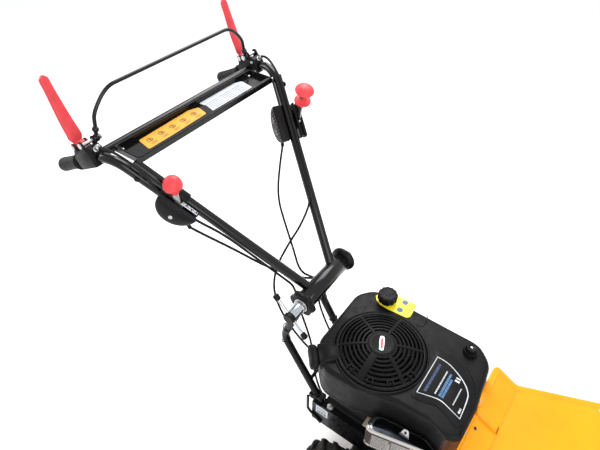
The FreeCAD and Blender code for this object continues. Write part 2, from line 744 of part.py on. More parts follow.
def side_flap(x):
    """The flap's sheet: a short drop and an outward kick."""
    y, z = DEFLECTOR_PIN.y, DEFLECTOR_PIN.z
    profile = [(y - 5, z), (y - 14, z - 110), (y - 34, z - 160), (y - 31.5, z - 162),
               (y - 11, z - 111), (y - 2, z)]
    corners = [Vector(x[0], a, b) for a, b in profile]
    return Part.Face(Part.makePolygon(corners + corners[:1])).extrude(Vector(x[1] - x[0], 0, 0))


def deflector_pin():
    x0, x1 = IMPELLER_X + 98, IMPELLER_X + 237
    pin = cylinder(Vector(x0, DEFLECTOR_PIN.y, DEFLECTOR_PIN.z), X_AXIS, DEFLECTOR_PIN_R, x1 - x0)
    ears = [box((x, x + 6), (-401, -380), (262, 282)) for x in (x0 + 3, x1 - 9)]
    return fuse([pin] + ears)


def caster_bracket(y):
    arm = box((HOUSING_FRONT, CASTER_X), (y - 18, y + 18), (222, 226))
    rib = box((HOUSING_FRONT, CASTER_X - 14), (y - 2, y + 2), (226, 262))
    foot = box((HOUSING_FRONT, HOUSING_FRONT + 4), (y - 30, y + 30), (205, 285))
    barrel = cylinder(Vector(CASTER_X, y, 196), Z_AXIS, 19, 70)
    bore = cylinder(Vector(CASTER_X, y, 190), Z_AXIS, AXLE_R + FIT, 90)
    return fuse([arm, rib, foot, barrel]).cut(bore)


def caster_fork(y):
    """Swivel stem, crown and two cheeks; the wheel trails behind the stem."""
    wheel_x = CASTER_X - CASTER_TRAIL
    stem = cylinder(Vector(CASTER_X, y, 140), Z_AXIS, AXLE_R, 134)
    cap = cylinder(Vector(CASTER_X, y, 267), Z_AXIS, 16, 7)
    crown = box((wheel_x - 16, CASTER_X + 18), (y - 28, y + 28), (136, 142))
    cheeks = [side_prism([(wheel_x - 14, CASTER_R - 12), (wheel_x + 14, CASTER_R - 12),
                          (CASTER_X + 18, 138), (wheel_x - 16, 138)], side, 4)
              for side in (y - 28, y + 24)]
    pin = cylinder(Vector(wheel_x, y - 31, CASTER_R), Y_AXIS, 6, 62)
    return fuse([stem, cap, crown, pin] + cheeks)


def caster_wheel(y):
    centre = Vector(CASTER_X - CASTER_TRAIL, y - CASTER_WIDTH / 2, CASTER_R)
    return filleted(ring(centre, Y_AXIS, CASTER_R, 6 + FIT, CASTER_WIDTH), 5,
                    lambda edge: edge.BoundBox.XLength > CASTER_R and edge.BoundBox.YLength < 1)


def top_ribs():
    """Pressed strengthening ribs on the raised rear panel, either side of the middle."""
    slope = math.degrees(math.atan2(RAISED_TOP - HOUSING_TOP, CREASE_X - HOUSING_REAR - 8))
    rib = cylinder(Vector(HOUSING_REAR + 12, 114, RAISED_TOP - 2), X_AXIS, 13, 66)
    rib.rotate(Vector(HOUSING_REAR + 12, 114, RAISED_TOP - 2), Y_AXIS, slope)
    return both_sides(rib.cut(housing_volume(0)))


def link_plates():
    """Zinc-plated plates between the frame and the housing."""
    plate = box((248, 256), (186, 226), (340, 402))
    foot = box((248, HOUSING_REAR), (186, 226), (300, 340))
    hole = cylinder(Vector(240, 206, 385), X_AXIS, 5, 30)
    return both_sides(fuse([plate, foot]).cut(hole))


def build_housing():
    nodes["housing_shell"] = fuse([housing_shell(), top_ribs()])
    nodes["bottom_plate"] = bottom_plate()
    nodes["scroll"] = scroll()
    nodes["blower_pins"] = group([bearing_bridge(), idler_pin(), deflector_pin()])
    nodes["inlet_guard"] = inlet_guard()
    nodes["impeller"] = impeller()
    nodes["impeller_shaft"] = impeller_shaft()
    nodes["idler_arm"] = idler_arm()
    nodes["idler_pulley"] = idler_pulley()
    nodes["deflector"] = deflector()
    nodes["link_plates"] = link_plates()
    nodes["caster_brackets"] = group([caster_bracket(side * CASTER_Y) for side in (-1, 1)])
    for name, side in (("right", -1), ("left", 1)):
        nodes["caster_fork_" + name] = caster_fork(side * CASTER_Y)
        nodes["caster_wheel_" + name] = caster_wheel(side * CASTER_Y)


# ---- handlebar ----------------------------------------------------------
# The left-hand tube is drawn; the right-hand one is its mirror image.
ALONG = unit(TUBE_TOP - TUBE_ROOT)
OUTWARD = unit(Vector(ALONG.y, -ALONG.x, 0))
ABOVE = OUTWARD.cross(ALONG)
GRIP_DOWN = unit(GRIP_END - GRIP_PEAK)


def on_tube(distance, outward=0.0, above=0.0):
    """A point beside the left tube, measured up from the pivot tube."""
    return TUBE_ROOT + ALONG * distance + OUTWARD * outward + ABOVE * above


def on_grip(distance, rise=0.0):
    """A point on the left grip tube, measured back from its peak."""
    up = Vector(-GRIP_DOWN.z, 0, GRIP_DOWN.x) * -1.0
    return GRIP_PEAK + GRIP_DOWN * distance + unit(up) * rise


def hub_tube():
    start = Vector(HUB_X, -HUB_HALF, HUB_Z)
    return ring(start, Y_AXIS, HUB_R, BOLT_R + FIT, 2 * HUB_HALF)


def frame_tube():
    start = on_tube(12)
    solid = straight_tube(start, on_tube(530), TUBE_R)
    return solid.cut(cylinder(Vector(HUB_X, -HUB_HALF, HUB_Z), Y_AXIS, HUB_R, 2 * HUB_HALF))


def grip_path():
    """The grip tube lies against the frame tube's underside, then bends back at its peak."""
    beside = -(TUBE_R + GRIP_TUBE_R)
    return [on_tube(395, 0, beside), GRIP_PEAK - ALONG * 2, GRIP_END]


def grip_tube():
    return tube(grip_path(), GRIP_TUBE_R, 55)


def rubber_grip():
    covered = GRIP_LENGTH - 6
    start = GRIP_END - GRIP_DOWN * covered
    sleeve = ring(start, GRIP_DOWN, GRIP_R, GRIP_TUBE_R, covered)
    cap = cylinder(GRIP_END, GRIP_DOWN, GRIP_R, 5)
    collar = ring(start, GRIP_DOWN, GRIP_R + 3, GRIP_TUBE_R, 6)
    return fuse([sleeve, cap, collar])


def lever_housing():
    """Moulded clamp block round the grip tube, with a boss for the lever and bail pins."""
    start = on_grip(40)
    length = 72.0
    body = Part.makeBox(length, 36, 44)
    upward = unit(on_grip(0, 1) - on_grip(0))
    corner_point = start + Y_AXIS * 18 - upward * 19
    body.Placement = Placement(corner_point, Rotation(GRIP_DOWN, -Y_AXIS, upward, "XYZ"))
    body = filleted(body, 6)
    bore = cylinder(start - GRIP_DOWN * 10, GRIP_DOWN, GRIP_TUBE_R, length + 20)
    return fuse([body.cut(bore)] + lever_ears())


LEVER_PIVOT = on_grip(92, 36)
BAIL_PIVOT = on_grip(58, 36)


def lever_ears():
    """Two ears on the clamp block with the pins of the clutch lever and the bail."""
    pieces = []
    for point, inner in ((LEVER_PIVOT, -17), (BAIL_PIVOT, -32)):
        pin_start = Vector(point.x, point.y + inner, point.z)
        pieces.append(cylinder(pin_start, Y_AXIS, LEVER_PIN_R, 17 - inner))
    low = unit(on_grip(0) - on_grip(0, 1)) * 16
    corners = [LEVER_PIVOT + low + GRIP_DOWN * 8, LEVER_PIVOT - low / 2 + GRIP_DOWN * 8,
               BAIL_PIVOT - low / 2 - GRIP_DOWN * 8, BAIL_PIVOT + low - GRIP_DOWN * 8]
    for side in (-17, 13):
        pieces.append(side_prism([(point.x, point.z) for point in corners], LEVER_PIVOT.y + side, 4))
    return pieces


def clutch_lever():
    """Tall tapered lever that stands above the grip and is squeezed down onto it."""
    lean = math.radians(LEVER_LEAN)
    upward = Vector(-math.sin(lean), 0, math.cos(lean))
    back = Vector(-math.cos(lean), 0, -math.sin(lean))
    thick = 4.0
    tip = LEVER_PIVOT + upward * LEVER_REACH
    mid = LEVER_PIVOT + upward * 60
    profile = [LEVER_PIVOT - Y_AXIS * 11, mid - Y_AXIS * 12, tip - Y_AXIS * 8,
               tip + Y_AXIS * 8, mid + Y_AXIS * 12, LEVER_PIVOT + Y_AXIS * 11]
    blade = Part.Face(Part.makePolygon(profile + profile[:1])).extrude(back * thick)
    blade.translate(back * 4.5)
    blade = blade.fuse(cylinder(tip - Y_AXIS * 8 + back * 5, Y_AXIS, 6, 16))
    eye = cylinder(LEVER_PIVOT - Y_AXIS * 11, Y_AXIS, 9, 22)
    bore = cylinder(LEVER_PIVOT - Y_AXIS * 14, Y_AXIS, LEVER_PIN_R + FIT, 28)
    return fuse([blade, eye]).cut(bore)


def bail():
    """Thin engine-stop hoop that joins the two clamp blocks over the crossbar."""
    base = Vector(BAIL_PIVOT.x, BAIL_PIVOT.y - 24, BAIL_PIVOT.z)
    knee = Vector(-618, 232, 1150)
    top = Vector(-617, 190, 1191)
    points = [base, knee, top]
    points += [Vector(point.x, -point.y, point.z) for point in reversed(points)]
    hoop = rod(points, BAIL_R, 22)
    hole_r = LEVER_PIN_R + FIT
    eyes = [ring(Vector(base.x, side * base.y - 4, base.z), Y_AXIS, 8, hole_r, 8) for side in (-1, 1)]
    bores = [cylinder(Vector(base.x, side * base.y - 20, base.z), Y_AXIS, hole_r, 40) for side in (-1, 1)]
    return fuse([hoop] + eyes).cut(group(bores))


def crossbar():
    half = 254.0
    start = Vector(CROSSBAR.x, -half, CROSSBAR.z)
    return ring(start, Y_AXIS, GRIP_TUBE_R, GRIP_TUBE_R - WALL, 2 * half)


def console_plate():
    """Shallow pressed tray between the tubes with a raised rim."""
    x = (-592, -514)
    half = 224.0
    tray = box(x, (-half, half), (1060, 1074))
    hollow = box((x[0] + 3, x[1] - 9), (-half + 4, half - 4), (1063, 1080))
    ears = [box((-528, -515), (side * 234 - 11, side * 234 + 11), (1060, 1063)) for side in (-1, 1)]
    return fuse([tray.cut(hollow)] + ears).cut(both_sides(tube_space()))


def half_moon(distance, radius, low, high, top):
    """A D-shaped control box hanging below the left tube, flat side up."""
    disc = Part.makeCylinder(radius, high - low)
    trim = Part.makeBox(3 * radius, 2 * radius, high - low + 2, Vector(-1.5 * radius, top, -1))
    piece = disc.cut(trim)
    piece = filleted(piece, 3, lambda edge: edge.Length > 2 * radius + 10)
    piece.Placement = Placement(on_tube(distance, low), Rotation(ALONG, ABOVE, OUTWARD, "XYZ"))
    return piece


def local_box(distance, along, outward, above):
    """A box set square to the left tube."""
    piece = Part.makeBox(along[1] - along[0], above[1] - above[0], outward[1] - outward[0])
    spot = on_tube(distance + along[0], outward[0], above[0])
    piece.Placement = Placement(spot, Rotation(ALONG, ABOVE, OUTWARD, "XYZ"))
    return piece


def tube_space():
    """The room that the left-hand tubes take up."""
    straight = cylinder(on_tube(300), ALONG, TUBE_R, 240)
    return fuse([straight, rod(grip_path(), GRIP_TUBE_R + FIT, 55)])


def slotted(body, distance, middle):
    """Cut the lever's slot into a control box and put its pin across it."""
    slot = local_box(distance, (-44, 44), (middle - 3, middle + 3), (-12, 30))
    pin = cylinder(on_tube(distance, middle - 8), OUTWARD, BOX_PIN_R, 16)
    return fuse([body.cut(slot), pin])


def lever_direction(lean):
    """Up from the tube, leaning towards the operator's end of it."""
    turn = math.radians(lean)
    return unit(ALONG * math.sin(turn) + ABOVE * math.cos(turn))


def box_lever(distance, middle, reach, lean):
    """A flat lever that turns on the control box's pin."""
    pivot = on_tube(distance, middle)
    direction = lever_direction(lean)
    side = OUTWARD.cross(direction)
    blade = Part.makeBox(reach, 12, 4)
    blade.Placement = Placement(pivot - side * 6 - OUTWARD * 2, Rotation(direction, side, OUTWARD, "XYZ"))
    boss = cylinder(pivot - OUTWARD * 2, OUTWARD, 9, 4)
    bore = cylinder(pivot - OUTWARD * 10, OUTWARD, BOX_PIN_R + FIT, 20)
    return fuse([blade, boss]).cut(bore)


def throttle_box():
    distance, middle = THROTTLE
    body = half_moon(distance, BOX_R, 15, 42, 4)
    neck = local_box(distance, (-12, 12), (8, 17), (-14, 3))
    band = straight_tube(on_tube(distance - 12), on_tube(distance + 12), TUBE_R + 4, 4)
    return mirrored(slotted(fuse([body, neck, band]).cut(tube_space()), distance, middle))


def throttle_lever():
    return box_lever(*THROTTLE, THROTTLE_REACH, THROTTLE_LEAN)


def throttle_knob():
    direction = lever_direction(THROTTLE_LEAN)
    pivot = on_tube(*THROTTLE)
    ball = Part.makeSphere(21, pivot + direction * 58)
    collar = cylinder(pivot + direction * 34, direction, 9, 12)
    return fuse([ball, collar]).cut(throttle_lever())


def shift_box():
    distance, middle = SHIFT
    outer_half = half_moon(distance, BOX_R, 15, 34, 10)
    inner_half = half_moon(distance, BOX_R, -40, -14, 10)
    bridge = local_box(distance, (-20, 20), (-16, 18), (-30, 6))
    return slotted(fuse([outer_half, inner_half, bridge]).cut(tube_space()), distance, middle)


def shift_lever():
    return box_lever(*SHIFT, SHIFT_REACH, SHIFT_LEAN)


def shift_knob():
    """Two-disc mushroom knob on the shift lever."""
    direction = lever_direction(SHIFT_LEAN)
    reach = on_tube(*SHIFT) + direction * 60
    pieces = []
    for radius, length in ((9, 14), (21, 8), (11, 28), (24, 6)):
        pieces.append(cylinder(reach, direction, radius, length))
        reach += direction * length
    pieces.append(Part.makeCone(24, 15, 10, reach, direction))
    return fuse(pieces).cut(shift_lever())


def clamp_nut():
    """Long T-nut on the pivot bolt with its capped cross bar."""
    start = Vector(HUB_X, -102, HUB_Z)
    barrel = cylinder(start, -Y_AXIS, 12, 48)
    bore = cylinder(start + Y_AXIS, -Y_AXIS, BOLT_R + FIT, 27)
    lean = math.radians(-48)
    direction = Vector(math.cos(lean), 0, math.sin(lean))
    middle = start - Y_AXIS * 40
    pieces = [barrel.cut(bore), cylinder(middle - direction * 64, direction, 4, 128),
              cylinder(start - Y_AXIS * 48, -Y_AXIS, 10, 3)]
    for sign in (-1, 1):
        pieces.append(cylinder(middle + direction * (sign * 54), direction * sign, 7, 14))
    return fuse(pieces)


# ---- control cables -----------------------------------------------------
def right(point):
    return Vector(point.x, -point.y, point.z)


def cable_routes():
    """Hand-laid routes from each control down to what it works."""
    drive = [right(point) for point in (
        on_grip(39, 18), on_grip(8, 27), on_tube(512, 26, 20), on_tube(462, 46, 10),
        on_tube(372, 48, 10), on_tube(286, 18, -2), on_tube(180, 17, -6), on_tube(84, 4, -20))]
    drive += [Vector(-233, -62, 705), Vector(-229, -57, 640), Vector(-207, -52, 560),
              Vector(-184, -50, 480), Vector(-177, -52, 400), Vector(-162, -56, 325),
              Vector(-139, -58, 265), Vector(-114, -58, 230)]
    blower = [on_grip(39, 18), on_grip(6, 30), on_tube(516, 0, 26), on_tube(455, 0, 17),
              on_tube(330, 0, 17.5), on_tube(205, 0, 17), Vector(-297, 62, 798), Vector(-312, 12, 742),
              Vector(-318, -34, 688), Vector(-305, -62, 630), Vector(-268, -72, 572),
              Vector(-215, -78, 527), Vector(-168, -82, 505), Vector(-144, -83, 501)]
    throttle = [right(point) for point in (
        on_tube(354, 28, -34), on_tube(322, 26, -31), on_tube(240, 18, -22), on_tube(150, 6, -21),
        on_tube(84, -16, -24))]
    throttle += [Vector(-226, -12, 690), Vector(-222, 34, 664), Vector(-213, 66, 628),
                 Vector(-222, 73, 588), Vector(-226, 70, 540), Vector(-205, 63, 496),
                 Vector(-176, 59, 474), Vector(-154, 58, 468)]
    shift = [on_tube(356, -27, -30), on_tube(326, -34, -62), Vector(-405, 92, 815), Vector(-352, 58, 764),
             Vector(-298, 22, 728), Vector(-256, -8, 696), Vector(-238, 26, 655), Vector(-226, 57, 615),
             Vector(-236, 63, 572), Vector(-240, 61, 520), Vector(-214, 57, 460), Vector(-184, 55, 405),
             Vector(-165, 56, 330), Vector(-140, 58, 265), Vector(-114, 58, 230)]
    return [drive, blower, throttle, shift]


def control_cables():
    cables = []
    for route in cable_routes():
        radii = [widest_bend(*three) for three in zip(route, route[1:], route[2:])]
        print("cable bends", [round(value) for value in radii])
        cable = rod(route, CABLE_R)
        print("cable volume ratio", round(cable.Volume / (math.pi * CABLE_R ** 2 * path(route).Length), 4))
        cables.append(cable)
    return group(cables)


def build_handlebar():
    nodes["hub_tube"] = hub_tube()
    nodes["handle_tubes"] = group([both_sides(frame_tube()), both_sides(grip_tube())])
    nodes["crossbar"] = crossbar()
    nodes["console_plate"] = console_plate()
    nodes["rubber_grips"] = both_sides(rubber_grip())
    nodes["lever_housings"] = both_sides(lever_housing())
    nodes["clutch_lever_left"] = clutch_lever()
    nodes["clutch_lever_right"] = mirrored(clutch_lever())
    nodes["bail"] = bail()
    nodes["throttle_box"] = throttle_box()
    nodes["throttle_lever"] = mirrored(throttle_lever())
    nodes["throttle_knob"] = mirrored(throttle_knob())
    nodes["shift_box"] = shift_box()
    nodes["shift_lever"] = shift_lever()
    nodes["shift_knob"] = shift_knob()
    nodes["clamp_nut"] = clamp_nut()
    nodes["control_cables"] = control_cables()


# ---- hand-in ------------------------------------------------------------
def export_all():
    os.makedirs("parts", exist_ok=True)
    whole = Part.makeCompound(list(nodes.values()))
    reach = whole.optimalBoundingBox(False)
    print("before moving", [round(value, 2) for value in (
        reach.XMin, reach.XMax, reach.YMin, reach.YMax, reach.ZMin, reach.ZMax)])
    print("middle", round((reach.XMin + reach.XMax) / 2, 3), round((reach.YMin + reach.YMax) / 2, 3))
    for name, shape in nodes.items():
        shape = shape.copy()
        shape.translate(Vector(-ORIGIN_X, -ORIGIN_Y, 0))
        shape.exportStep("parts/" + name + ".step")
        state = "ok" if shape.isValid() else "INVALID"
        print(name, len(shape.Solids), round(shape.Volume / 1000.0, 1), state)
    print(len(nodes), "nodes")


build_frame()
build_drive()
build_engine()
build_housing()
build_handlebar()
export_all()
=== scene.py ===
"""Walk-behind leaf blower: surface detail, finishes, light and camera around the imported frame."""
import math
import random

import bmesh
import bpy
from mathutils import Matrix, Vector


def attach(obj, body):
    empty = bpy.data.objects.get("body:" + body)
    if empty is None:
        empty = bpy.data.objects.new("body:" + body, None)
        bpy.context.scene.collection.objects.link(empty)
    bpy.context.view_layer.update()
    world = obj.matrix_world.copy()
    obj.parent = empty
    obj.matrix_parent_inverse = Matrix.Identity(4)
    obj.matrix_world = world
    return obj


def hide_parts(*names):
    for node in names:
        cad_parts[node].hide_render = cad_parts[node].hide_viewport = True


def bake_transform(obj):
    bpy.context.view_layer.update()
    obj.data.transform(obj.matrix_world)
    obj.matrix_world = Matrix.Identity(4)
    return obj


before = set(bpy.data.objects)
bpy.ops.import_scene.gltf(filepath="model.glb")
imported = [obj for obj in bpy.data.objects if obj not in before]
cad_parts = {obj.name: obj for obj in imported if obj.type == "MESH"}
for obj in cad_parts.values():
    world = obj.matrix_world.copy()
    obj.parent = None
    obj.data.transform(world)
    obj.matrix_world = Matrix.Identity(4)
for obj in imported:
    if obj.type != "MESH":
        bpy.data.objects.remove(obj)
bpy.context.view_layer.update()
draw = random.Random(7)

# Lengths are millimetres in the machine's own frame: x forward and y left from the crankshaft,
# z up from the ground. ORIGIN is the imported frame's origin in it.
ORIGIN = Vector((55.58, -22.5, 0))
X, Y, Z = Vector((1, 0, 0)), Vector((0, 1, 0)), Vector((0, 0, 1))

# Engine: the cover's plan, its levels and the fan opening.
SHROUD_PLAN = [(-96, -131), (-150, -70), (-150, 130), (-112, 178), (208, 172), (250, 132),
               (266, 0), (265, -98), (238, -114), (200, -97), (110, -103), (60, -116), (0, -131)]
SHROUD_CORNER = 60
SHROUD_BOTTOM, SHROUD_TOP = 430.0, 548.0
FAN_R, DOME_R, FAN_TOP = 118.0, 280.0, 580.0
CAP = Vector((-65, 152, 562))
PRIMER_X, PRIMER_Y = 192, 132
GUARD_PLAN = [(58, -168), (234, -126), (234, -117), (200, -101), (112, -107), (58, -121)]
GRIP_OUT = Vector((-0.75, -0.66, 0.12)).normalized()
ROPE_POINT = Vector((-122, -100, 532))

# Wheels and casters.
TYRE_R, WHEEL_Y, AXLE_X = 132.0, 195.0, 28.0
LUGS = 16
CASTER_X, CASTER_Y, CASTER_R, CASTER_TRAIL = 838.0, 290.0, 62.5, 32.0

# Housing: rear and front edges, half widths, deck levels, the ramp between them and the inlet.
HOUSING_REAR, HOUSING_FRONT, HOUSING_NARROW, HOUSING_WIDE = 258, 735, 283, 380
FLARE_START, FLARE_END = 330, 575
RAISED_Z, DECK_Z, RAMP_START, RAMP_END = 352, 310, 266, 340
INLET_X = 500
RIB_Y = 114

# Handlebar: pivot tube, left tube and grip, console and the places of the controls.
HUB = Vector((-186, 0, 701))
HUB_HALF, CUP_Y = 82, 82.6
TUBE_R, CABLE_R = 12, 3.0
TUBE_ROOT, TUBE_TOP = Vector((-188, 43, 701)), Vector((-511, 240, 1075))
GRIP_PEAK, GRIP_END = Vector((-551, 265, 1090)), Vector((-745, 269, 988))
ALONG = (TUBE_TOP - TUBE_ROOT).normalized()
OUTWARD = Vector((ALONG.y, -ALONG.x, 0)).normalized()
ABOVE = OUTWARD.cross(ALONG)
GRIP_DOWN = (GRIP_END - GRIP_PEAK).normalized()
GRIP_UP = Vector((GRIP_DOWN.z, 0, -GRIP_DOWN.x)).normalized()
LEG_FOOT, LEG_KNEE, LEG_TOP = Vector((-133, 91, 314)), Vector((-250, 91, 513)), Vector((-186, 91, 701))
CONSOLE_Z = 1063.2
THROTTLE_AT, SHIFT_AT, BOX_R = 408, 404, 48
THROTTLE_LEAN, SHIFT_LEAN, CLUTCH_LEAN, CLAMP_LEAN = 48, 24, 19, -48


def metres(point):
    return (Vector(point) - ORIGIN) / 1000


def right(point):
    """The same point on the machine's right-hand side."""
    return Vector((point[0], -point[1], point[2]))


def facing(point, outward):
    """The same point on the left (+1) or right (-1) side."""
    return Vector(point) if outward > 0 else right(point)


def on_tube(distance, outward=0.0, above=0.0):
    """A point beside the left tube, measured up from the pivot tube."""
    return TUBE_ROOT + ALONG * distance + OUTWARD * outward + ABOVE * above


def on_grip(distance, rise=0.0):
    """A point on the left grip tube, measured back from its peak."""
    return GRIP_PEAK + GRIP_DOWN * distance + GRIP_UP * rise


LEVER_PIVOT, BAIL_PIVOT = on_grip(92, 36), on_grip(58, 36)


def tube_axes(outward):
    """Directions along, above and outward of one handlebar tube."""
    return [facing(axis, outward) for axis in (ALONG, ABOVE, OUTWARD)]


def turns(count, first=0.0):
    """Even steps round one full turn."""
    return [first + 2 * math.pi * i / count for i in range(count)]


def polar(turn, radius=1.0, height=0.0):
    """A point round a vertical axis."""
    return Vector((radius * math.cos(turn), radius * math.sin(turn), height))


def rolling(turn):
    """A direction round a wheel's axle."""
    return Vector((math.cos(turn), 0, math.sin(turn)))


def circle(middle, u, v, radius, steps, first=0.0):
    """Points round a circle on axes u and v."""
    return [middle + (u * math.cos(t) + v * math.sin(t)) * radius for t in turns(steps, first)]


def pillow(middle, u, v, wide, tall, powers, steps=20):
    """Points round a rounded rectangle on axes u and v."""
    ring = []
    for t in turns(steps):
        c, q = math.cos(t), math.sin(t)
        ring.append(middle + u * wide * math.copysign(abs(c) ** powers[0], c)
                    + v * tall * math.copysign(abs(q) ** powers[1], q))
    return ring


def levels(*outlines):
    """Rings from plan outlines, each given with its height."""
    return [[(x, y, z) for x, y in line] for line, z in outlines]


def shrunk(outline, middle, amount):
    """A plan outline moved towards a middle point."""
    middle = Vector(middle)
    return [tuple(Vector(p) + (middle - Vector(p)).normalized() * amount) for p in outline]


def swung(outline, middle, radii, centre):
    """Points of an oval in step with an outline, for a hole with as many points as its edge."""
    return [(centre[0] + radii[0] * math.cos(t), centre[1] + radii[1] * math.sin(t))
            for t in (math.atan2(y - middle[1], x - middle[0]) for x, y in outline)]


# ---- finishes -----------------------------------------------------------
def finish(name, colour, rough, metal=0.0, coat=0.0, grain=(1.0, 0.02), blotch=(60, 0.15), spread=0.08,
           worn=None, edge=0.6, stretch=(1, 1, 1), tint=None, sheen=0.5):
    """A painted, moulded or metal surface: uneven colour and gloss, fine grain and rounded, worn edges."""
    made = bpy.data.materials.new(name)
    made.use_nodes = True
    nodes, links = made.node_tree.nodes, made.node_tree.links
    shader = nodes["Principled BSDF"]
    shader.inputs["Metallic"].default_value = metal
    shader.inputs["Coat Weight"].default_value = coat
    shader.inputs["Coat Roughness"].default_value = 0.12
    shader.inputs["Specular IOR Level"].default_value = sheen
    place = nodes.new("ShaderNodeTexCoord")
    mapping = nodes.new("ShaderNodeMapping")
    mapping.inputs["Scale"].default_value = stretch
    links.new(place.outputs["Object"], mapping.inputs["Vector"])

    def noise(size, detail=4.0):
        node = nodes.new("ShaderNodeTexNoise")
        node.inputs["Scale"].default_value = 1000 / size
        node.inputs["Detail"].default_value = detail
        links.new(mapping.outputs["Vector"], node.inputs["Vector"])
        return node.outputs["Fac"]

    def ramp(source, low, high, first, last):
        node = nodes.new("ShaderNodeValToRGB")
        for element, at, value in zip(node.color_ramp.elements, (low, high), (first, last)):
            element.position = at
            element.color = (*value, 1)
        links.new(source, node.inputs["Fac"])
        return node.outputs["Color"]

    def blend(factor, first, second, mode="MIX"):
        node = nodes.new("ShaderNodeMix")
        node.data_type = "RGBA"
        node.blend_type = mode
        links.new(factor, node.inputs["Factor"])
        for source, socket in ((first, node.inputs["A"]), (second, node.inputs["B"])):
            if isinstance(source, tuple):
                socket.default_value = (*source, 1)
            else:
                links.new(source, socket)
        return node.outputs["Result"]

    size, amount = blotch
    dark = tuple(c * (1 - amount) for c in colour)
    light = tuple(min(1.0, c * (1 + amount)) for c in (tint or colour))
    paint = ramp(noise(size), 0.35, 0.65, dark, light)
    rounding = nodes.new("ShaderNodeBevel")
    rounding.samples = 4
    rounding.inputs["Radius"].default_value = edge / 1000
    if worn:
        geometry = nodes.new("ShaderNodeNewGeometry")
        along = nodes.new("ShaderNodeVectorMath")
        along.operation = "DOT_PRODUCT"
        links.new(rounding.outputs["Normal"], along.inputs[0])
        links.new(geometry.outputs["True Normal"], along.inputs[1])
        flat = ramp(along.outputs["Value"], 0.80, 0.97, (1, 1, 1), (0, 0, 0))
        patches = ramp(noise(7), 0.45, 0.60, (0, 0, 0), (0.7, 0.7, 0.7))
        mask = nodes.new("ShaderNodeMath")
        mask.operation = "MULTIPLY"
        links.new(flat, mask.inputs[0])
        links.new(patches, mask.inputs[1])
        paint = blend(mask.outputs["Value"], paint, worn)
    links.new(paint, shader.inputs["Base Color"])
    gloss = nodes.new("ShaderNodeMapRange")
    gloss.inputs["From Min"].default_value = 0.3
    gloss.inputs["From Max"].default_value = 0.7
    gloss.inputs["To Min"].default_value = max(0.02, rough - spread)
    gloss.inputs["To Max"].default_value = min(1.0, rough + spread)
    links.new(noise(size * 0.4), gloss.inputs["Value"])
    links.new(gloss.outputs["Result"], shader.inputs["Roughness"])
    size, height = grain
    bump = nodes.new("ShaderNodeBump")
    bump.inputs["Strength"].default_value = 0.6
    bump.inputs["Distance"].default_value = height / 1000
    links.new(noise(size, 2.0), bump.inputs["Height"])
    links.new(rounding.outputs["Normal"], bump.inputs["Normal"])
    links.new(bump.outputs["Normal"], shader.inputs["Normal"])
    return made


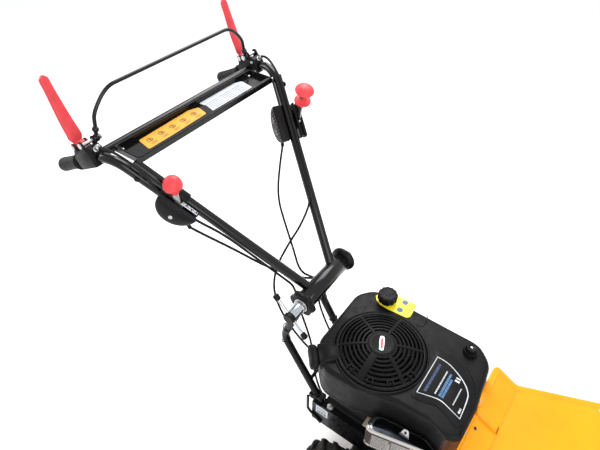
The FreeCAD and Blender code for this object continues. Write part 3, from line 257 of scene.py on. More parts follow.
PRINT = {"grain": (2, 0.01)}
FINISHES = {"black_paint": dict(colour=(0.004, 0.004, 0.0045), rough=0.30, coat=0.06, grain=(2.2, 0.03),
                                worn=(0.03, 0.03, 0.03), sheen=0.14),
            "yellow_paint": dict(colour=(0.95, 0.35, 0.002), rough=0.38, coat=0.08, grain=(2.5, 0.03),
                                 blotch=(140, 0.06), worn=(0.75, 0.42, 0.08), edge=2.0, sheen=0.25),
            "yellow_plate": dict(colour=(0.95, 0.80, 0.02), rough=0.42, grain=(1.5, 0.02), blotch=(30, 0.05)),
            "red_plastic": dict(colour=(0.62, 0.044, 0.054), rough=0.45, coat=0.05, grain=(0.9, 0.03),
                                blotch=(25, 0.09), worn=(0.78, 0.12, 0.12), edge=1.0, sheen=0.35),
            "black_plastic": dict(colour=(0.005, 0.005, 0.0055), rough=0.42, grain=(0.7, 0.05),
                                  blotch=(25, 0.3), worn=(0.02, 0.02, 0.02), edge=1.5, sheen=0.14),
            "engine_plastic": dict(colour=(0.0042, 0.0042, 0.0048), rough=0.44, grain=(0.8, 0.06),
                                   blotch=(45, 0.28), worn=(0.014, 0.014, 0.015), edge=1.2, sheen=0.13),
            # Dark red: a painted reflection of red on the cover's front wall.
            "red_reflection_plastic": dict(colour=(0.030, 0.004, 0.007), rough=0.42, grain=(0.8, 0.06),
                                  blotch=(45, 0.2)), "gloss_paint": dict(colour=(0.003, 0.003, 0.0035),
                                                                         rough=0.16, coat=0.12,
                                                                         grain=(3, 0.02), blotch=(60, 0.25),
                                                                         spread=0.05, worn=(0.03, 0.03, 0.03),
                                                                         sheen=0.28),
            "rubber": dict(colour=(0.005, 0.005, 0.005), rough=0.60, grain=(0.6, 0.08), blotch=(18, 0.3),
                           sheen=0.2), "tyre": dict(colour=(0.007, 0.007, 0.0065), rough=0.7,
                                                    grain=(1.1, 0.15), blotch=(30, 0.35),
                                                    tint=(0.013, 0.012, 0.010), sheen=0.25),
            "belt": dict(colour=(0.008, 0.008, 0.008), rough=0.8, grain=(0.8, 0.2), blotch=(8, 0.4)),
            # The near-black cast finish below paints shade on the engine block and the plate under the fan,
            # and partly on the flywheel; the gearbox wears it too.
            "aluminium": dict(colour=(0.52, 0.53, 0.54), rough=0.42, metal=1.0, grain=(1.2, 0.10),
                              blotch=(20, 0.15)), "dark_cast_and_shade": dict(colour=(0.010, 0.010, 0.010), rough=0.6,
                                                                    metal=0.2, sheen=0.25, grain=(1.4, 0.25),
                                                                    blotch=(16, 0.3)),
            "cast": dict(colour=(0.33, 0.33, 0.33), rough=0.62, metal=0.7, grain=(1.4, 0.25),
                         blotch=(16, 0.3)), "steel": dict(colour=(0.55, 0.55, 0.56), rough=0.34, metal=1.0,
                                                          grain=(1.0, 0.04), blotch=(6, 0.18)),
            "chrome": dict(colour=(0.50, 0.54, 0.58), rough=0.14, metal=1.0, grain=(3, 0.01),
                           blotch=(30, 0.05), spread=0.04), "guard_steel": dict(colour=(0.50, 0.50, 0.50),
                                                                                rough=0.20, metal=1.0,
                                                                                grain=(1.0, 0.03),
                                                                                blotch=(60, 0.10),
                                                                                tint=(0.42, 0.41, 0.40),
                                                                                stretch=(0.08, 1, 1),
                                                                                edge=2.0),
            "guard_mirror": dict(colour=(0.035, 0.040, 0.050), rough=0.10, metal=1.0, grain=(6, 0.02),
                                 blotch=(40, 0.3), spread=0.05),
            "beige": dict(colour=(0.42, 0.36, 0.25), rough=0.5, metal=0.4, blotch=(15, 0.15)),
            "white_print": dict(colour=(0.58, 0.62, 0.66), rough=0.4, blotch=(20, 0.04), **PRINT),
            "grey_print": dict(colour=(0.10, 0.11, 0.12), rough=0.5, blotch=(20, 0.05), **PRINT),
            "blue_print": dict(colour=(0.012, 0.05, 0.16), rough=0.4, blotch=(12, 0.12), **PRINT),
            "pale_blue_print": dict(colour=(0.05, 0.15, 0.32), rough=0.4, blotch=(12, 0.12), **PRINT),
            "amber_print": dict(colour=(0.80, 0.36, 0.03), rough=0.4, blotch=(30, 0.04), **PRINT),
            # Ink: real print, and also painted shade in louvre gaps, slots, holes and rib ends.
            "ink_print_and_shade": dict(colour=(0.035, 0.025, 0.02), rough=0.5, blotch=(12, 0.1), **PRINT),}
M = {name: finish(name, **values) for name, values in FINISHES.items()}


def dress(material, *names):
    for name in names:
        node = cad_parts[name]
        if not node.material_slots:
            node.data.materials.append(M[material])
        for slot in node.material_slots:
            slot.material = M[material]


# ---- mesh building ------------------------------------------------------
def rounded(points, radius, steps=6):
    """A closed outline of pairs with its corners rounded as far as the sides allow."""
    made = []
    for index, here in enumerate(points):
        here = Vector(here)
        before, after = Vector(points[index - 1]), Vector(points[(index + 1) % len(points)])
        back, on = before - here, after - here
        half = back.angle(on) / 2
        reach = min(radius / math.tan(half), 0.48 * back.length, 0.48 * on.length)
        start, end = here + back.normalized() * reach, here + on.normalized() * reach
        for i in range(steps + 1):
            t = i / steps
            made.append(tuple(start * (1 - t) ** 2 + here * 2 * t * (1 - t) + end * t ** 2))
    return made


def smooth_route(points, knots=8):
    """Points along one smooth NURBS line laid on the given route."""
    curve = bpy.data.curves.new("route", "CURVE")
    curve.dimensions = "3D"
    curve.resolution_u = knots
    spline = curve.splines.new("NURBS")
    spline.points.add(len(points) - 1)
    for target, point in zip(spline.points, points):
        target.co = (*point, 1)
    spline.order_u = 3
    spline.use_endpoint_u = True
    holder = bpy.data.objects.new("route", curve)
    bpy.context.scene.collection.objects.link(holder)
    mesh = bpy.data.meshes.new_from_object(holder.evaluated_get(bpy.context.evaluated_depsgraph_get()))
    line = [vertex.co.copy() for vertex in mesh.vertices]
    bpy.data.objects.remove(holder)
    bpy.data.meshes.remove(mesh)
    return line


class Shape:
    """Collects the solids of one piece."""

    def __init__(self):
        self.verts = []
        self.faces = []

    def skin(self, rings, caps=True, closed=False):
        """Joins rings of equal count; the ends are capped, or joined when closed."""
        base, count = len(self.verts), len(rings[0])
        for one in rings:
            self.verts += [Vector(p) for p in one]
        spans = len(rings) if closed else len(rings) - 1
        for i in range(spans):
            a, b = base + i * count, base + (i + 1) % len(rings) * count
            for j in range(count):
                k = (j + 1) % count
                self.faces.append((a + j, a + k, b + k, b + j))
        if caps and not closed:
            self.faces.append(tuple(base + j for j in reversed(range(count))))
            self.faces.append(tuple(base + (len(rings) - 1) * count + j for j in range(count)))
        return self

    def lathe(self, start, axis, profile, steps=32, closed=False):
        """Turns (distance along, radius) pairs round an axis."""
        start, axis = Vector(start), Vector(axis).normalized()
        side = axis.orthogonal().normalized()
        other = axis.cross(side)
        rings = [circle(start + axis * along, side, other, max(radius, 0.02), steps)
                 for along, radius in profile]
        return self.skin(rings, closed=closed)

    def lobed(self, start, axes, profile, wave, steps, closed=False):
        """Turns (distance along, radius, lobe) triples; the wave shapes the lobes round the turn."""
        axis, u, v = axes
        rings = [[start + axis * along + (u * math.cos(t) + v * math.sin(t)) * (radius + lobe * wave(t))
                  for t in turns(steps)] for along, radius, lobe in profile]
        return self.skin(rings, closed=closed)

    def sweep(self, points, radius, steps=12):
        """A round rod along a line; radius is one number or one for each point."""
        points = [Vector(p) for p in points]
        radii = radius if isinstance(radius, (list, tuple)) else [radius] * len(points)
        side, rings = None, []
        for i, point in enumerate(points):
            along = (points[min(i + 1, len(points) - 1)] - points[max(i - 1, 0)]).normalized()
            side = along.orthogonal() if side is None else side - along * side.dot(along)
            side.normalize()
            rings.append(circle(point, side, along.cross(side), radii[i], steps))
        return self.skin(rings)

    def prism(self, outline, origin, u, v, depth):
        """A flat outline of pairs laid on axes u and v and thickened by a vector."""
        origin, depth = Vector(origin), Vector(depth)
        flat = [origin + u * a + v * b for a, b in outline]
        return self.skin([flat, [p + depth for p in flat]])

    def box(self, middle, sizes, axes=(X, Y, Z)):
        a, b, c = (axis * size / 2 for axis, size in zip(axes, sizes))
        middle = Vector(middle)
        low = [middle - a - b - c, middle + a - b - c, middle + a + b - c, middle - a + b - c]
        return self.skin([low, [p + c * 2 for p in low]])

    def hexagon(self, start, axis, across, height, turn=0.3):
        """A bolt head or nut with a chamfered top and its washer."""
        start, axis = Vector(start), Vector(axis).normalized()
        side = axis.orthogonal().normalized()
        other = axis.cross(side)
        self.lathe(start, axis, [(0, across * 0.8), (height * 0.2, across * 0.8)], 24)
        return self.skin([circle(start + axis * height * along, side, other, across * radius, 6, turn)
                          for along, radius in ((0.2, 0.577), (0.85, 0.577), (1.0, 0.50))])

    def screw(self, start, axis, radius, turn=0.5):
        """A domed screw head with a cross recess raised as four lands."""
        start, axis = Vector(start), Vector(axis).normalized()
        self.lathe(start, axis, [(0, radius), (radius * 0.25, radius), (radius * 0.45, radius * 0.85),
                                 (radius * 0.55, radius * 0.5), (radius * 0.35, radius * 0.45),
                                 (radius * 0.35, 0)], 20)
        side = axis.orthogonal().normalized()
        other = axis.cross(side)
        u = side * math.cos(turn) + other * math.sin(turn)
        v = axis.cross(u)
        for a, b in ((1, 1), (1, -1), (-1, 1), (-1, -1)):
            self.box(start + axis * radius * 0.42 + (u * a + v * b) * radius * 0.27,
                     (radius * 0.3, radius * 0.3, radius * 0.2), (u, v, axis))
        return self

    def solid(self, name, merge=False):
        """An object made of the collected solids, with every face turned outwards."""
        mesh = bpy.data.meshes.new(name)
        mesh.from_pydata([metres(v) for v in self.verts], [], self.faces)
        work = bmesh.new()
        work.from_mesh(mesh)
        if merge:
            bmesh.ops.remove_doubles(work, verts=work.verts, dist=1e-6)
        bmesh.ops.recalc_face_normals(work, faces=work.faces)
        work.to_mesh(mesh)
        work.free()
        made = bpy.data.objects.new(name, mesh)
        bpy.context.scene.collection.objects.link(made)
        return made

    def piece(self, name, material, body="chassis", slot=None, bevel=0.0, smooth=35, replaces=(), merge=True):
        """A finished piece that rides on a body; the slot argument is not used."""
        made = self.solid(name, merge)
        made.data.materials.append(M[material])
        if bevel:
            modifier = made.modifiers.new("edges", "BEVEL")
            modifier.width = bevel / 1000
            modifier.segments = 3
            modifier.limit_method = "ANGLE"
            modifier.angle_limit = math.radians(38)
            settle(made)
        made.data.shade_smooth()
        made.data.set_sharp_from_angle(angle=math.radians(smooth))
        if body:
            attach(made, body)
        if replaces:
            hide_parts(*replaces)
        return made


def settle(made):
    """Applies every modifier."""
    graph = bpy.context.evaluated_depsgraph_get()
    graph.update()
    mesh = bpy.data.meshes.new_from_object(made.evaluated_get(graph))
    made.modifiers.clear()
    made.data = mesh


def marks(shape, start, along, across, up, length, height, gap=0.35, share=(0.5, 1.6)):
    """One row of short printed dashes, which stand in for a line of print."""
    start, done = Vector(start), 0.0
    while done < length:
        size = min(height * draw.uniform(*share), length - done)
        if size > height * 0.25:
            shape.box(start + along * (done + size / 2) + across * (height / 2) + up * 0.15,
                      (size, height, 0.3), (along, across, up))
        done += size + height * gap
    return shape


# ---- engine -------------------------------------------------------------
def reach(outline, angle):
    """How far an outline lies from the crankshaft in one direction."""
    direction = Vector((math.cos(angle), math.sin(angle)))
    best = 0.0
    for a, b in zip(outline, outline[1:] + outline[:1]):
        a, b = Vector(a), Vector(b)
        side = b - a
        cross = direction.x * side.y - direction.y * side.x
        if abs(cross) < 1e-9:
            continue
        t = (a.x * side.y - a.y * side.x) / cross
        s = (a.x * direction.y - a.y * direction.x) / cross
        if t > 0 and -1e-6 <= s <= 1 + 1e-6:
            best = max(best, t)
    return best


def shroud():
    """Moulded cover: crowned top round the fan opening, soft shoulder, drafted wall and an inner skin."""
    outline = rounded(SHROUD_PLAN, SHROUD_CORNER, 10)
    angles = turns(240)
    far = [reach(outline, a) for a in angles]
    inner = FAN_R + 2.5
    rings = []

    def ring(radius, height):
        rings.append([polar(a, radius(r), height(r)) for a, r in zip(angles, far)])

    def shoulder(r):
        return min(13.0, (r - inner) * 0.7)

    for out, height in ((0, 536), (0, 552.5), (1, 554), (3, 554), (4, 552.5), (5, SHROUD_TOP)):
        ring(lambda r: inner + out, lambda r: height)
    for t in (i / 8 for i in range(1, 9)):
        ring(lambda r: inner + 5 + (r - shoulder(r) - inner - 5) * t, lambda r: SHROUD_TOP)
    for turn in (math.pi / 2 * i / 7 for i in range(1, 8)):
        ring(lambda r: r - shoulder(r) * (1 - math.sin(turn)),
             lambda r: SHROUD_TOP - shoulder(r) * (1 - math.cos(turn)))
    for height, out in ((520, 0), (480, 0), (450, 0), (445, 0), (443.5, -1.2), (442, 0), (434, 0),
                        (SHROUD_BOTTOM, -0.6)):
        ring(lambda r: r + out, lambda r: height)
    ring(lambda r: r - 3, lambda r: SHROUD_BOTTOM)
    ring(lambda r: r - 3, lambda r: 530)
    ring(lambda r: max(inner + 1.5, r - 14), lambda r: SHROUD_TOP - 4)
    Shape().skin(rings, closed=True).piece(
        "shroud", "engine_plastic", smooth=50, replaces=["engine_shroud"], merge=False)


def red_reflection_panel():
    """Dark red skin on the cover's front wall: a painted reflection of red on the black plastic."""
    rings = []
    middle = Vector((60, 20))
    for x, y in rounded(SHROUD_PLAN, SHROUD_CORNER, 10):
        if x > 216 and y < 70:
            out = (Vector((x, y)) - middle).normalized()
            rings.append([(x + out.x * d, y + out.y * d, z)
                          for d, z in ((-0.8, 447), (0.6, 447), (0.6, 534), (-0.8, 534))])
    rings.sort(key=lambda one: -one[0][1])
    Shape().skin(rings).piece("red_reflection_panel", "red_reflection_plastic", slot="engine_plastic", smooth=50)


def label():
    """Front plate of the cover: outlined sticker with plain coloured bars."""
    plate = [(118, 92), (152, 94), (184, 86), (212, 70), (238, 45), (252, 14), (254, -60), (246, -84),
             (215, -66), (184, -57), (150, -68), (119, -72)]
    Shape().prism(rounded(plate, 16), (0, 0, SHROUD_TOP - 1), X, Y, Z * 2.6).piece(
        "label_plate", "engine_plastic", bevel=1.2)
    top = SHROUD_TOP + 1.6
    edge = [(129, 70), (156, 71), (187, 58), (213, 43), (232, 24), (241, 2), (243, -56), (215, -47),
            (185, -38), (154, -46), (129, -53)]
    corners = (0, 6, 10, len(edge))
    outer = []
    for first, last in zip(corners, corners[1:]):
        run = [Vector((*edge[i % len(edge)], 0)) for i in range(first, last + 1)]
        line = smooth_route(run, 7) if len(run) > 2 else run
        outer += [(p.x, p.y) for p in line[:-1]]
    middle = [sum(values) / len(edge) for values in zip(*edge)]
    inner = shrunk(outer, middle, 2.6)
    rings = levels((outer, top - 0.1), (outer, top + 0.35), (inner, top + 0.35), (inner, top - 0.1))
    Shape().skin(rings, closed=True).piece("label_border", "white_print", slot="engine_plastic", merge=False)
    blue, pale, white = Shape(), Shape(), Shape()
    marks(blue, (141, -38, top), Y, X, Z, 92, 7, gap=0.3, share=(0.4, 0.8))
    marks(white, (166, -30, top), Y, X, Z, 74, 3.4)
    marks(pale, (176, -30, top), Y, X, Z, 72, 6, gap=0.2, share=(0.6, 1.2))
    marks(pale, (183.5, -30, top), Y, X, Z, 60, 6, gap=0.2, share=(0.6, 1.2))
    marks(white, (193, 30, top), Y, X, Z, 15, 12, gap=0.3, share=(0.3, 0.5))
    marks(white, (214, -32, top), Y, X, Z, 52, 2.6)
    marks(white, (232, -44, top), Y, X, Z, 14, 5)
    blue.piece("label_bars_blue", "blue_print", slot="engine_plastic")
    pale.piece("label_bars_pale", "pale_blue_print", slot="engine_plastic")
    white.piece("label_bars_white", "white_print", slot="engine_plastic")


def fuel_cap():
    """Twelve-lobed cap with a dished top and two raised marks."""
    profile = ((0, 24, 0), (1, 26.5, 1), (4, 27, 1.4), (17, 26.8, 1.4), (20.5, 26, 1.0), (22.4, 24, 0.3),
               (23, 21.5, 0), (23, 18.5, 0), (21.6, 17.5, 0), (21.6, 9, 0), (22.6, 8, 0), (22.6, 0.1, 0))
    shape = Shape().lobed(CAP, (Z, X, Y), profile, lambda t: max(-0.7, min(0.9, 2.2 * math.cos(12 * t))), 144)
    for turn in (0.6, 0.6 + math.pi):
        shape.box(CAP + polar(turn, 13, 22), (3, 7, 1.4))
    shape.piece("filler_cap", "black_plastic", "fuel_cap", smooth=40, replaces=["fuel_cap"])


def cap_tag():
    """Yellow tag under the cap with two signs and two lines of print."""
    z = SHROUD_TOP + 0.6
    outline = [(-101, 152), (-92, 139), (-76, 131), (-48, 129), (6, 133), (14, 141), (11, 186), (4, 190),
               (-40, 188), (-56, 187), (-84, 181)]
    tag = rounded(outline, 8)
    hole = swung(tag, CAP, (18.6, 18.6), CAP)
    Shape().skin(levels((tag, z), (tag, z + 1.8), (hole, z + 1.8), (hole, z)), closed=True).piece(
        "tag", "yellow_plate", replaces=["cap_tag"], merge=False)
    dots, signs = Shape(), Shape()
    for x, y in ((-20, 178), (-20, 146)):
        dots.lathe((x, y, z + 1.75), Z, [(0, 8.5), (0.35, 8.5), (0.4, 8)], 28)
        signs.box((x, y, z + 2.2), (7, 1.6, 0.3), (Vector((0.7, 0.7, 0)), Vector((-0.7, 0.7, 0)), Z))
        signs.lathe((x + 2.2, y + 1.4, z + 2.1), Z, [(0, 1.8), (0.3, 1.8)], 10)
    dots.piece("tag_dots", "pale_blue_print", slot="yellow_plate")
    signs.piece("tag_signs", "blue_print", slot="yellow_plate")
    rows = Shape()
    marks(rows, (-4, 152, z + 1.8), Y, X, Z, 14, 1.6)
    marks(rows, (2, 150, z + 1.8), Y, X, Z, 18, 1.6)
    rows.piece("tag_print", "ink_print_and_shade", slot="yellow_plate")


def on_dome(radius, turn, lift=0.0):
    """A point on the domed grille."""
    return polar(turn, radius, FAN_TOP - DOME_R + math.sqrt(DOME_R ** 2 - radius ** 2) + lift)


def grille_details():
    """Hub with a plain badge, raised spoke ribs, rim ring and screw clips of the fan grille."""
    hub = [(-2.5, 37.5), (0.8, 37), (2.6, 35), (3.8, 27), (3.4, 26), (3.4, 0)]
    rim = [(0, 117.8), (5.2, 117.8), (6.4, 116), (6.4, 111), (4, 109.5), (0, 109.5)]
    shape = Shape().lathe((0, 0, FAN_TOP - 2.5), Z, hub, 64)
    shape.lathe((0, 0, 551), Z, rim, 96, closed=True)
    for index, width in enumerate((8, 8, 8, 8, 20, 11)):
        turn = math.radians(30 + 60 * index)
        half = Z.cross(polar(turn)) * (width / 2 - 1)
        shape.skin([[spot + half - Z, spot + half + Z * 1.6, spot - half + Z * 1.6, spot - half - Z]
                    for spot in (on_dome(radius, turn) for radius in range(27, 114, 6))])
    for turn in (math.radians(degrees) for degrees in (252, 284, 312, 345)):
        out = polar(turn)
        side = Z.cross(out)
        spot = on_dome(103, turn)
        for sign in (-1, 1):
            shape.box(spot + side * sign * 7, (17, 2.6, 9), (out, side, Z))
        shape.box(spot - out * 7, (2.6, 14, 9), (out, side, Z))
    shape.piece("grille_ribs", "engine_plastic", bevel=0.6)
    screws = Shape()
    for degrees in (252, 312):
        screws.screw(on_dome(103, math.radians(degrees), -1), Z, 4.2)
    screws.piece("grille_screws", "black_plastic", slot="steel")
    u = polar(math.radians(25))
    v = Z.cross(u)
    oval = rounded([(-6, -22), (6, -22), (7, 0), (6, 22), (-6, 22), (-7, 0)], 5)
    Shape().prism(oval, (0, 0, FAN_TOP + 0.8), u, v, Z * 1.2).piece("hub_badge", "aluminium", bevel=0.4)
    inlay = rounded([(-3, -15), (3, -15), (3, 15), (-3, 15)], 2.5)
    Shape().prism(inlay, (0, 0, FAN_TOP + 1.9), u, v, Z * 0.4).piece("hub_badge_inlay", "red_plastic")


def crank_and_fan():
    """Crankshaft with both pulleys, and the flywheel with its cast blades."""
    profile = [(0, 0), (0, 11.5), (1.5, 12.7), (5, 12.7), (5, 36), (7, 36), (8.5, 30.5), (20.5, 30.5),
               (22, 36), (24, 36), (24, 20), (34, 20), (34, 51), (36, 51), (37.5, 45.5), (50, 45.5),
               (51.5, 51), (53.5, 51), (53.5, 20), (60, 20), (60, 12.7), (264, 12.7)]
    Shape().lathe((0, 0, 230), Z, profile, 40).piece("crank", "steel", "crankshaft", replaces=["crankshaft"])
    profile = [(0, 12.7), (0, 92), (3, 97), (9, 98), (12, 96), (13, 60), (20, 34), (34, 30), (36, 26),
               (36, 12.7)]
    wheel = Shape().lathe((0, 0, 494), Z, profile, 72, closed=True)
    for first in turns(18):
        rings = []
        for step in range(7):
            turn = first + 0.012 * step * step
            middle = polar(turn, 44 + 50 * step / 6)
            side = Z.cross(polar(turn)) * 1.3
            rings.append([middle + side + Z * 506, middle + side * 0.7 + Z * 528,
                          middle - side * 0.7 + Z * 528, middle - side + Z * 506])
        wheel.skin(rings)
    # Flywheel near-black: partly the fan's own dark colour, partly painted shade under the grille.
    wheel.piece("flywheel", "dark_cast_and_shade", "crankshaft", "cast")
    # Dark plate under the fan: painted shade where the floor would show through the cover.
    outer = shrunk(rounded(SHROUD_PLAN, 20), (55, 10), 7)
    inner = swung(outer, (0, 0), (46, 46), (0, 0))
    Shape().skin(levels((outer, 484), (inner, 484), (inner, 486), (outer, 486)), closed=True).piece(
        "fan_shade_plate", "dark_cast_and_shade", slot="engine_plastic")


def muffler_guard():
    """Bright pressed guard: rounded box with louvre lips along its outer face, dark strips of painted shade
    in their gaps and along the other faces, a bead and a holed tab.
    """
    plan = rounded(GUARD_PLAN, 24, 8)
    middle = (146, -127)
    wall = ((376, 0), (378, -0.8), (384, -0.8), (386, 0), (452, 0), (454, -1.6), (458, -1.6), (461, 0),
            (464, 2.5), (465.6, 5.5), (466, 9), (466, 24))
    rings = levels(*[(shrunk(plan, middle, amount), z) for z, amount in wall])
    Shape().skin(rings).piece("guard_shell", "guard_steel", replaces=["muffler_guard"], smooth=50)
    Shape().skin(levels((shrunk(plan, middle, 13), 465.9), (shrunk(plan, middle, 13.6), 466.5))).piece(
        "guard_top", "guard_mirror", slot="guard_steel", smooth=20)
    along = (Vector(GUARD_PLAN[1]) - Vector(GUARD_PLAN[0])).normalized()
    along = Vector((along.x, along.y, 0))
    out = Vector((along.y, -along.x, 0))
    start = Vector((*GUARD_PLAN[0], 0))
    lips, gap_shade = Shape(), Shape()
    for row in range(9):
        for a, b in ((20, 66), (70, 118), (122, 166)):
            z = 388 + 7 * row
            rings = []
            for step in range(13):
                t = step / 12
                swell = 1.2 * min(1.0, 4 * math.sin(math.pi * t))
                spot = start + along * (a + (b - a) * t) + Z * z
                rings.append([spot + out * 0.1, spot + out * (0.1 + swell),
                              spot + out * (0.1 + swell * 0.8) + Z * 1.2, spot + out * 0.1 + Z * 3.4])
            lips.skin(rings)
            # Dark strip in each gap under a lip: painted shade of the opening.
            gap_shade.box(start + along * (a + b) / 2 + out * 0.4 + Z * (z + 5.1), (b - a - 2, 1.4, 3.0),
                     (along, out, Z))
    # Dark strips along the other faces: painted shade of slots.
    for here, ahead in zip(plan[:8], plan[1:9]):
        here, ahead = Vector(here), Vector(ahead)
        side = Vector((*(ahead - here).normalized(), 0))
        for row in range(9):
            gap_shade.box((*(here + ahead) / 2, 393.2 + 7 * row), ((ahead - here).length * 0.96, 1.8, 3.0),
                     (side, side.cross(Z), Z))
    lips.piece("guard_louvres", "guard_steel", smooth=50)
    gap_shade.piece("guard_slot_shade", "ink_print_and_shade", slot="guard_steel")
    edge = rounded([(-14, 0), (14, 0), (9, 16), (7.5, 22), (3.5, 26), (-3.5, 26), (-7.5, 22), (-9, 16)], 3)
    slot = swung(edge, (0, 13), (3.0, 4.6), (0, 15.5))
    origin = Vector((148, -129.5, 463.5))
    tilt = Vector((0, math.sin(math.radians(22)), math.cos(math.radians(22))))
    rings = [[origin + X * a + tilt * b - Y * d for a, b in line] for line, d in
             ((edge, 1.5), (edge, 0), (slot, 0), (slot, 1.5))]
    Shape().skin(rings, closed=True).piece("guard_tab", "guard_steel", merge=False)
    dress("beige", "muffler")


def starter():
    """Docked pull handle with soft ends, and the moulded rope outlet behind it."""
    across = GRIP_OUT.cross(Z).normalized()
    up = across.cross(GRIP_OUT)
    middle = ROPE_POINT + GRIP_OUT * 19.5
    rings = []
    for t in (-1 + step / 10 for step in range(21)):
        size = math.sqrt(max(0.0, 1 - abs(t) ** 5))
        bow = middle - GRIP_OUT * 2 + across * t * 36 + GRIP_OUT * 2.5 * t * t
        rings.append(pillow(bow, GRIP_OUT, up, 13.5 * size + 0.2, 15.5 * size + 0.2, (0.7, 0.7)))
    shape = Shape().skin(rings)
    shape.lathe(ROPE_POINT + GRIP_OUT * 5.6, GRIP_OUT, [(0, 7), (1, 8), (7, 9), (10, 12)], 24)
    shape.piece("pull_handle", "black_plastic", "starter_grip", smooth=50, replaces=["starter_grip"])
    guide = Shape()
    eye = [(0, 17), (5, 17), (7.5, 15), (9, 12), (8.4, 7), (4, 5), (4, 0)]
    guide.lathe(ROPE_POINT - GRIP_OUT * 4, GRIP_OUT, eye, 32)
    rings = []
    flat = Vector((GRIP_OUT.x, GRIP_OUT.y, 0)).normalized()
    for distance, half, top in ((104, 15, 555.5), (118, 20, 560), (132, 24, 561), (150, 26, 557),
                                (163, 27, 551)):
        spot = flat * distance + across * 8 * (distance - 104) / 60
        section = [(half + 5, 520), (half + 4, top - 9), (half, top - 2), (half - 5, top)]
        section += [(-a, z) for a, z in reversed(section)]
        rings.append([(*(spot + across * a).to_tuple(2)[:2], z) for a, z in section])
    guide.skin(rings)
    guide.piece("rope_outlet", "engine_plastic", bevel=2.0)


def cover_details():
    """Seam of the tank cover, breather knob, screws and the plug lead."""
    shape = Shape()
    seam = [(52, 176, 547.6), (56, 160, 548.4), (58, 144, 548.4), (56, 133, 548.4), (47, 128, 548.4),
            (38, 131, 548.2)]
    shape.sweep(smooth_route(seam, 5), 1.1, 8)
    ridge = [(262, -92, 547), (250, -60, 549), (255, 0, 549), (246, 40, 549), (226, 66, 549),
             (200, 86, 548.6)]
    shape.sweep(smooth_route(ridge, 6), 0.9, 8)
    collar = [(0, 19), (2, 18.6), (11, 17.6), (12.5, 16.5), (12.5, 14.6), (0, 14.6)]
    shape.lathe((PRIMER_X, PRIMER_Y, 547.5), Z, collar, 40, closed=True)
    shape.piece("cover_lines", "engine_plastic")
    profile = ((554, 13.6, 0), (561, 13.6, 0), (562, 13.4, 0.7), (569, 13, 0.8), (571, 12, 0.3),
               (571.6, 10, 0), (570.6, 8, 0), (570.6, 0.1, 0))
    Shape().lobed(Vector((PRIMER_X, PRIMER_Y, 0)), (Z, X, Y), profile, lambda t: math.cos(16 * t), 96).piece(
        "primer_cap", "black_plastic", "primer", replaces=["primer_button"], smooth=50)
    Shape().screw((PRIMER_X, PRIMER_Y, 570.4), Z, 3.6).piece("primer_screw", "steel", "primer")
    screws = Shape()
    for x, y, z, axis in ((-151.2, 80, 500, -X), (-151.2, -20, 500, -X), (120, 176.6, 500, Y),
                          (-20, 179.4, 500, Y), (266.4, 60, 480, X), (268, -40, 480, X)):
        screws.screw(Vector((x, y, z)) - axis * 2.5, axis, 5)
    screws.piece("cover_screws", "steel")
    lead = [(246, 10, 376), (252, 16, 384), (252, 40, 400), (242, 62, 414), (222, 76, 420), (190, 84, 424),
            (150, 70, 428)]
    Shape().sweep(smooth_route(lead, 8), 3.4, 12).piece("plug_lead", "rubber")


def build_engine():
    """Every engine part, and finishes for the ones carried over."""
    shroud()
    red_reflection_panel()
    label()
    fuel_cap()
    cap_tag()
    grille_details()
    crank_and_fan()
    muffler_guard()
    starter()
    cover_details()
    dress("engine_plastic", "fan_grille", "air_intake")
    dress("black_plastic", "fuel_tank")
    # Engine block near-black: painted shade under the cover over its grey cast metal.
    dress("dark_cast_and_shade", "engine_block")
    dress("cast", "cylinder_head")


# ---- wheels -------------------------------------------------------------
def tyre(side, outward):
    """Lugged tyre: a turned carcass with two staggered rows of curved bars."""
    centre = Vector((AXLE_X, outward * WHEEL_Y, TYRE_R))
    half = [(0, 121), (18, 120.5), (34, 118), (43, 113), (48, 104), (49.4, 100), (50.6, 98), (49.6, 95),
            (50, 86), (49.4, 76), (50.4, 72), (49, 69), (47, 62), (43, 56), (40, 53.4)]
    inner = [(35, 54), (39, 64), (42, 88), (38, 104), (20, 111), (0, 112)]
    section = half + inner
    section += [(-a, r) for a, r in reversed(section[1:-1])]
    shape = Shape().lathe(centre, Y, section, 96, closed=True)
    stations = ((1.5, 0.0, 131.2, 119), (13, 3.0, 131.7, 118.5), (26, 7.5, 131.4, 117),
                (37, 12.0, 129.5, 113), (44, 15.0, 124.5, 108), (48.5, 16.8, 116, 102), (50.2, 17.6, 106, 97))
    for hand in (-1, 1):
        for first in turns(LUGS, math.pi / LUGS if hand > 0 else 0.0):
            rings = []
            for y, lead, top, base in stations:
                middle = rolling(first + math.radians(lead))
                across = middle.cross(Y)
                spot = centre + Y * hand * y
                flank = ((base, 9.5), (top - 1, 7), (top, 5.5))
                rings.append([spot + middle * height - across * wide for height, wide in flank]
                             + [spot + middle * height + across * wide for height, wide in reversed(flank)])
            shape.skin(rings)
    shape.piece("tyre_tread_" + side, "tyre", "wheel_" + side, smooth=40, replaces=["tyre_" + side])


